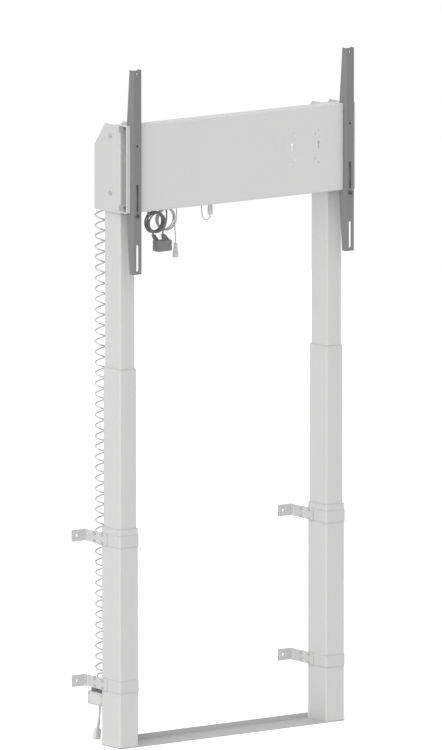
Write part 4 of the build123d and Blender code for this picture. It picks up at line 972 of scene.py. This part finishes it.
class LIFT_OT_mains_lead(Operator):
    """Add the short lead under the junction box, its ribbed relief and its connector"""

    bl_idname = "lift.mains_lead"
    bl_label = "Mains lead"

    def execute(self, context):
        cords = context.scene.lift_cords
        lead = route_curve("mains_tail", MAINS_POINTS, cords.mains_wire, cords.sides)
        stand_in(lead, "mains_lead", "pale_jacket")

        form = bmesh.new()
        profile = [(0.0, 0.0), (3.6, 0.0)]
        profile += ribbed(
            6, foot=0.0, pitch=4.6, radius=4.3, widening=0.22, groove=0.9, heights=(0.3, 1.4, 1.7, 4.2)
        )
        profile += [(5.4, MAINS_RELIEF_HEIGHT), (0.0, MAINS_RELIEF_HEIGHT)]
        add_turned(form, profile)
        body = bmesh.new()
        add_body(body, Vector(), CONNECTOR_SIZE, low=-CONNECTOR_LENGTH, high=0.0, radius=2.2)
        for vert in body.verts:
            beyond_neck = max(0.0, -vert.co.z / MM - CONNECTOR_NECK)
            flare = 1.0 + CONNECTOR_FLARE * beyond_neck / (CONNECTOR_LENGTH - CONNECTOR_NECK)
            vert.co.x *= flare
            vert.co.y *= flare * CONNECTOR_FLATTENING
        body.normal_update()
        hollow_face(body, (0.0, 0.0, -1.0), rim=1.6, depth=7.0)
        over = Matrix.Rotation(pi, 3, "X")
        bmesh.ops.rotate(body, verts=body.verts[:], cent=(0.0, 0.0, 0.0), matrix=over)
        bmesh.ops.translate(body, verts=body.verts[:], vec=(0.0, 0.0, MAINS_RELIEF_HEIGHT * MM))
        add_form(form, body)
        way = (MAINS_POINTS[-1] - MAINS_POINTS[-2]).normalized()
        across = (Vector((1.0, 0.0, 0.0)) - way * way.x).normalized()
        turn = Matrix((across, way.cross(across), way)).transposed().to_4x4()
        place = Matrix.Translation(MAINS_POINTS[-1] * MM)
        bmesh.ops.transform(form, verts=form.verts[:], matrix=place @ turn)
        connector = stand_in(to_piece("mains_connector", form), "mains_plug", "pale_moulding")
        return {"FINISHED"}


class LIFT_OT_power_cord(Operator):
    """Add the dark cord, its loops, its riser and the power block"""

    bl_idname = "lift.power_cord"
    bl_label = "Power cord"

    def execute(self, context):
        cords = context.scene.lift_cords
        loops = pile_points(POWER_CENTRE, radius=33.0, pitch=5.8, way=1, start_angle=pi, turns=4.14)
        points = POWER_POINTS_IN + loops + POWER_POINTS_OUT
        cord = route_curve("power_lead", points, cords.power_wire, cords.sides)
        stand_in(cord, "power_cord", "dark_jacket")
        riser = route_curve("power_lead_riser", RISER_POINTS, cords.power_wire, cords.sides)
        stand_in(riser, "power_riser", "dark_jacket")

        form = bmesh.new()
        lower_top = (BLOCK_HIGH.x, BLOCK_HIGH.y, BLOCK_JOINT)
        upper_foot = (BLOCK_LOW.x, BLOCK_LOW.y, BLOCK_JOINT + BLOCK_GROOVE)
        add_block(form, BLOCK_LOW, lower_top, radius=3.0)
        add_block(form, upper_foot, BLOCK_HIGH, radius=3.0)
        add_block(form, BLOCK_LOW + BLOCK_CORE_INSET, BLOCK_HIGH - BLOCK_CORE_INSET, radius=2.0)
        add_relief(form, COIL_RELIEF_FOOT, foot_width=16.0, end_width=11.0)
        add_relief(form, RISER_RELIEF_FOOT, foot_width=24.0, end_width=12.0)
        block = stand_in(to_piece("power_brick", form), "power_block", "dark_moulding")
        return {"FINISHED"}


class LIFT_OT_signal_cord(Operator):
    """Add the thin pale cord with its loops and tapered plug"""

    bl_idname = "lift.signal_cord"
    bl_label = "Signal cord"

    def execute(self, context):
        cords = context.scene.lift_cords
        loops = pile_points(SIGNAL_CENTRE, radius=35.0, pitch=4.3, way=-1, start_angle=0.0, turns=4.0)
        points = SIGNAL_POINTS_IN + loops + SIGNAL_POINTS_OUT
        cord = route_curve("signal_lead", points, cords.signal_wire, cords.sides)
        stand_in(cord, "signal_cord", "pale_jacket")

        form = bmesh.new()
        foot = SIGNAL_PLUG_FOOT
        add_body(form, foot, size=(13.6, 13.6), low=0.0, high=15.0, radius=1.4)
        add_body(form, foot, size=(12.8, 12.8), low=15.6, high=44.0, radius=1.4, taper=0.60)
        add_body(form, foot, size=(11.0, 11.0), low=11.0, high=19.0, radius=1.0)
        plug = stand_in(to_piece("signal_lead_plug", form), "signal_plug", "pale_moulding")
        return {"FINISHED"}


class LIFT_OT_head_leads(Operator):
    """Add the service loop with its connector, and the lead from the gland to the control box"""

    bl_idname = "lift.head_leads"
    bl_label = "Head leads"

    def execute(self, context):
        cords = context.scene.lift_cords
        service = route_curve("service_loop", SERVICE_POINTS, cords.signal_wire, cords.sides)
        stand_in(service, "service_cord", "pale_jacket")
        lead = route_curve("gland_lead", HEAD_LEAD_POINTS, cords.curl_wire, cords.sides)
        stand_in(lead, "head_lead", "pale_jacket")

        form = bmesh.new()
        foot = SERVICE_POINTS[-1]
        add_body(form, foot, size=(14.0, 10.0), low=0.0, high=23.3, radius=1.5)
        add_body(form, foot, size=(12.4, 8.4), low=21.3, high=36.0, radius=1.0)
        add_body(form, foot + SERVICE_LATCH, size=(4.8, 2.0), low=6.3, high=19.3, radius=0.5)
        stand_in(to_piece("service_housing", form), "service_connector", "pale_moulding")
        return {"FINISHED"}


class LIFT_OT_sockets(Operator):
    """Add the two mains sockets on the junction box and the gland's nut"""

    bl_idname = "lift.sockets"
    bl_label = "Sockets and gland"

    def execute(self, context):
        form = bmesh.new()
        for y in (CURL_PLUG.y, CURL_PLUG.y - SOCKET_SPACING):
            socket = bmesh.new()
            foot = Vector((SOCKET_X, y, SOCKET_FOOT))
            add_body(socket, foot, SOCKET_SIZE, low=0.0, high=SOCKET_TOP - SOCKET_FOOT, radius=1.6)
            socket.normal_update()
            hollow_face(socket, (0.0, 0.0, 1.0), rim=2.6, depth=7.4)
            add_form(form, socket)
            for shift in SLITS:
                slit_foot = Vector((CURL_PLUG.x, y, SOCKET_FOOT)) + shift
                add_body(form, slit_foot, SLIT_SIZE, low=2.0, high=7.5, radius=0.3, segments=1)
        stand_in(to_piece("mains_outlets", form), "mains_sockets", "dark_moulding")

        form = bmesh.new()
        bmesh.ops.create_circle(form, cap_ends=True, segments=6, radius=GLAND_NUT_RADIUS * MM)
        raised = bmesh.ops.extrude_face_region(form, geom=form.faces[:])["geom"]
        top = [part for part in raised if isinstance(part, bmesh.types.BMVert)]
        bmesh.ops.translate(form, verts=top, vec=(0.0, 0.0, GLAND_NUT_HEIGHT * MM))
        bmesh.ops.bevel(
            form,
            geom=form.edges[:],
            offset=GLAND_NUT_EDGE * MM,
            segments=2,
            profile=0.5,
            affect="EDGES",
            material=-1,
        )
        add_turned(form, GLAND_PROFILE)
        bmesh.ops.translate(form, verts=form.verts[:], vec=CURL_GLAND * MM)
        stand_in(to_piece("gland_nut", form), "cord_gland", "pale_moulding")
        return {"FINISHED"}


class LIFT_PT_panel(Panel):
    """The lift's settings and steps"""

    bl_idname = "LIFT_PT_panel"
    bl_label = "Television lift"
    bl_space_type = "VIEW_3D"
    bl_region_type = "UI"
    bl_category = "TV lift"

    def draw(self, context):
        layout = self.layout
        for group, title in SETTINGS:
            box = layout.box()
            box.label(text=title)
            settings = getattr(context.scene, group)
            for name in settings.__annotations__:
                box.prop(settings, name)
        for step in STEPS:
            layout.operator(step.bl_idname)


SETTINGS = (("lift_finishes", "Finishes"), ("lift_cords", "Cords"), ("lift_stage", "Stage"))
STEPS = (
    LIFT_OT_stage,
    LIFT_OT_finishes,
    LIFT_OT_curly_cord,
    LIFT_OT_mains_lead,
    LIFT_OT_power_cord,
    LIFT_OT_signal_cord,
    LIFT_OT_head_leads,
    LIFT_OT_sockets,
)
CLASSES = (LiftFinishes, LiftCords, LiftStage, *STEPS, LIFT_PT_panel)


def register():
    for one in CLASSES:
        bpy.utils.register_class(one)
    bpy.types.Scene.lift_finishes = PointerProperty(type=LiftFinishes)
    bpy.types.Scene.lift_cords = PointerProperty(type=LiftCords)
    bpy.types.Scene.lift_stage = PointerProperty(type=LiftStage)


def unregister():
    for group, _ in SETTINGS:
        delattr(bpy.types.Scene, group)
    for one in reversed(CLASSES):
        bpy.utils.unregister_class(one)


def main():
    """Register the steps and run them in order."""
    register()
    bpy.ops.lift.stage()
    bpy.ops.lift.finishes()
    bpy.ops.lift.curly_cord()
    bpy.ops.lift.mains_lead()
    bpy.ops.lift.power_cord()
    bpy.ops.lift.signal_cord()
    bpy.ops.lift.head_leads()
    bpy.ops.lift.sockets()


if __name__ == "__main__":
    main()
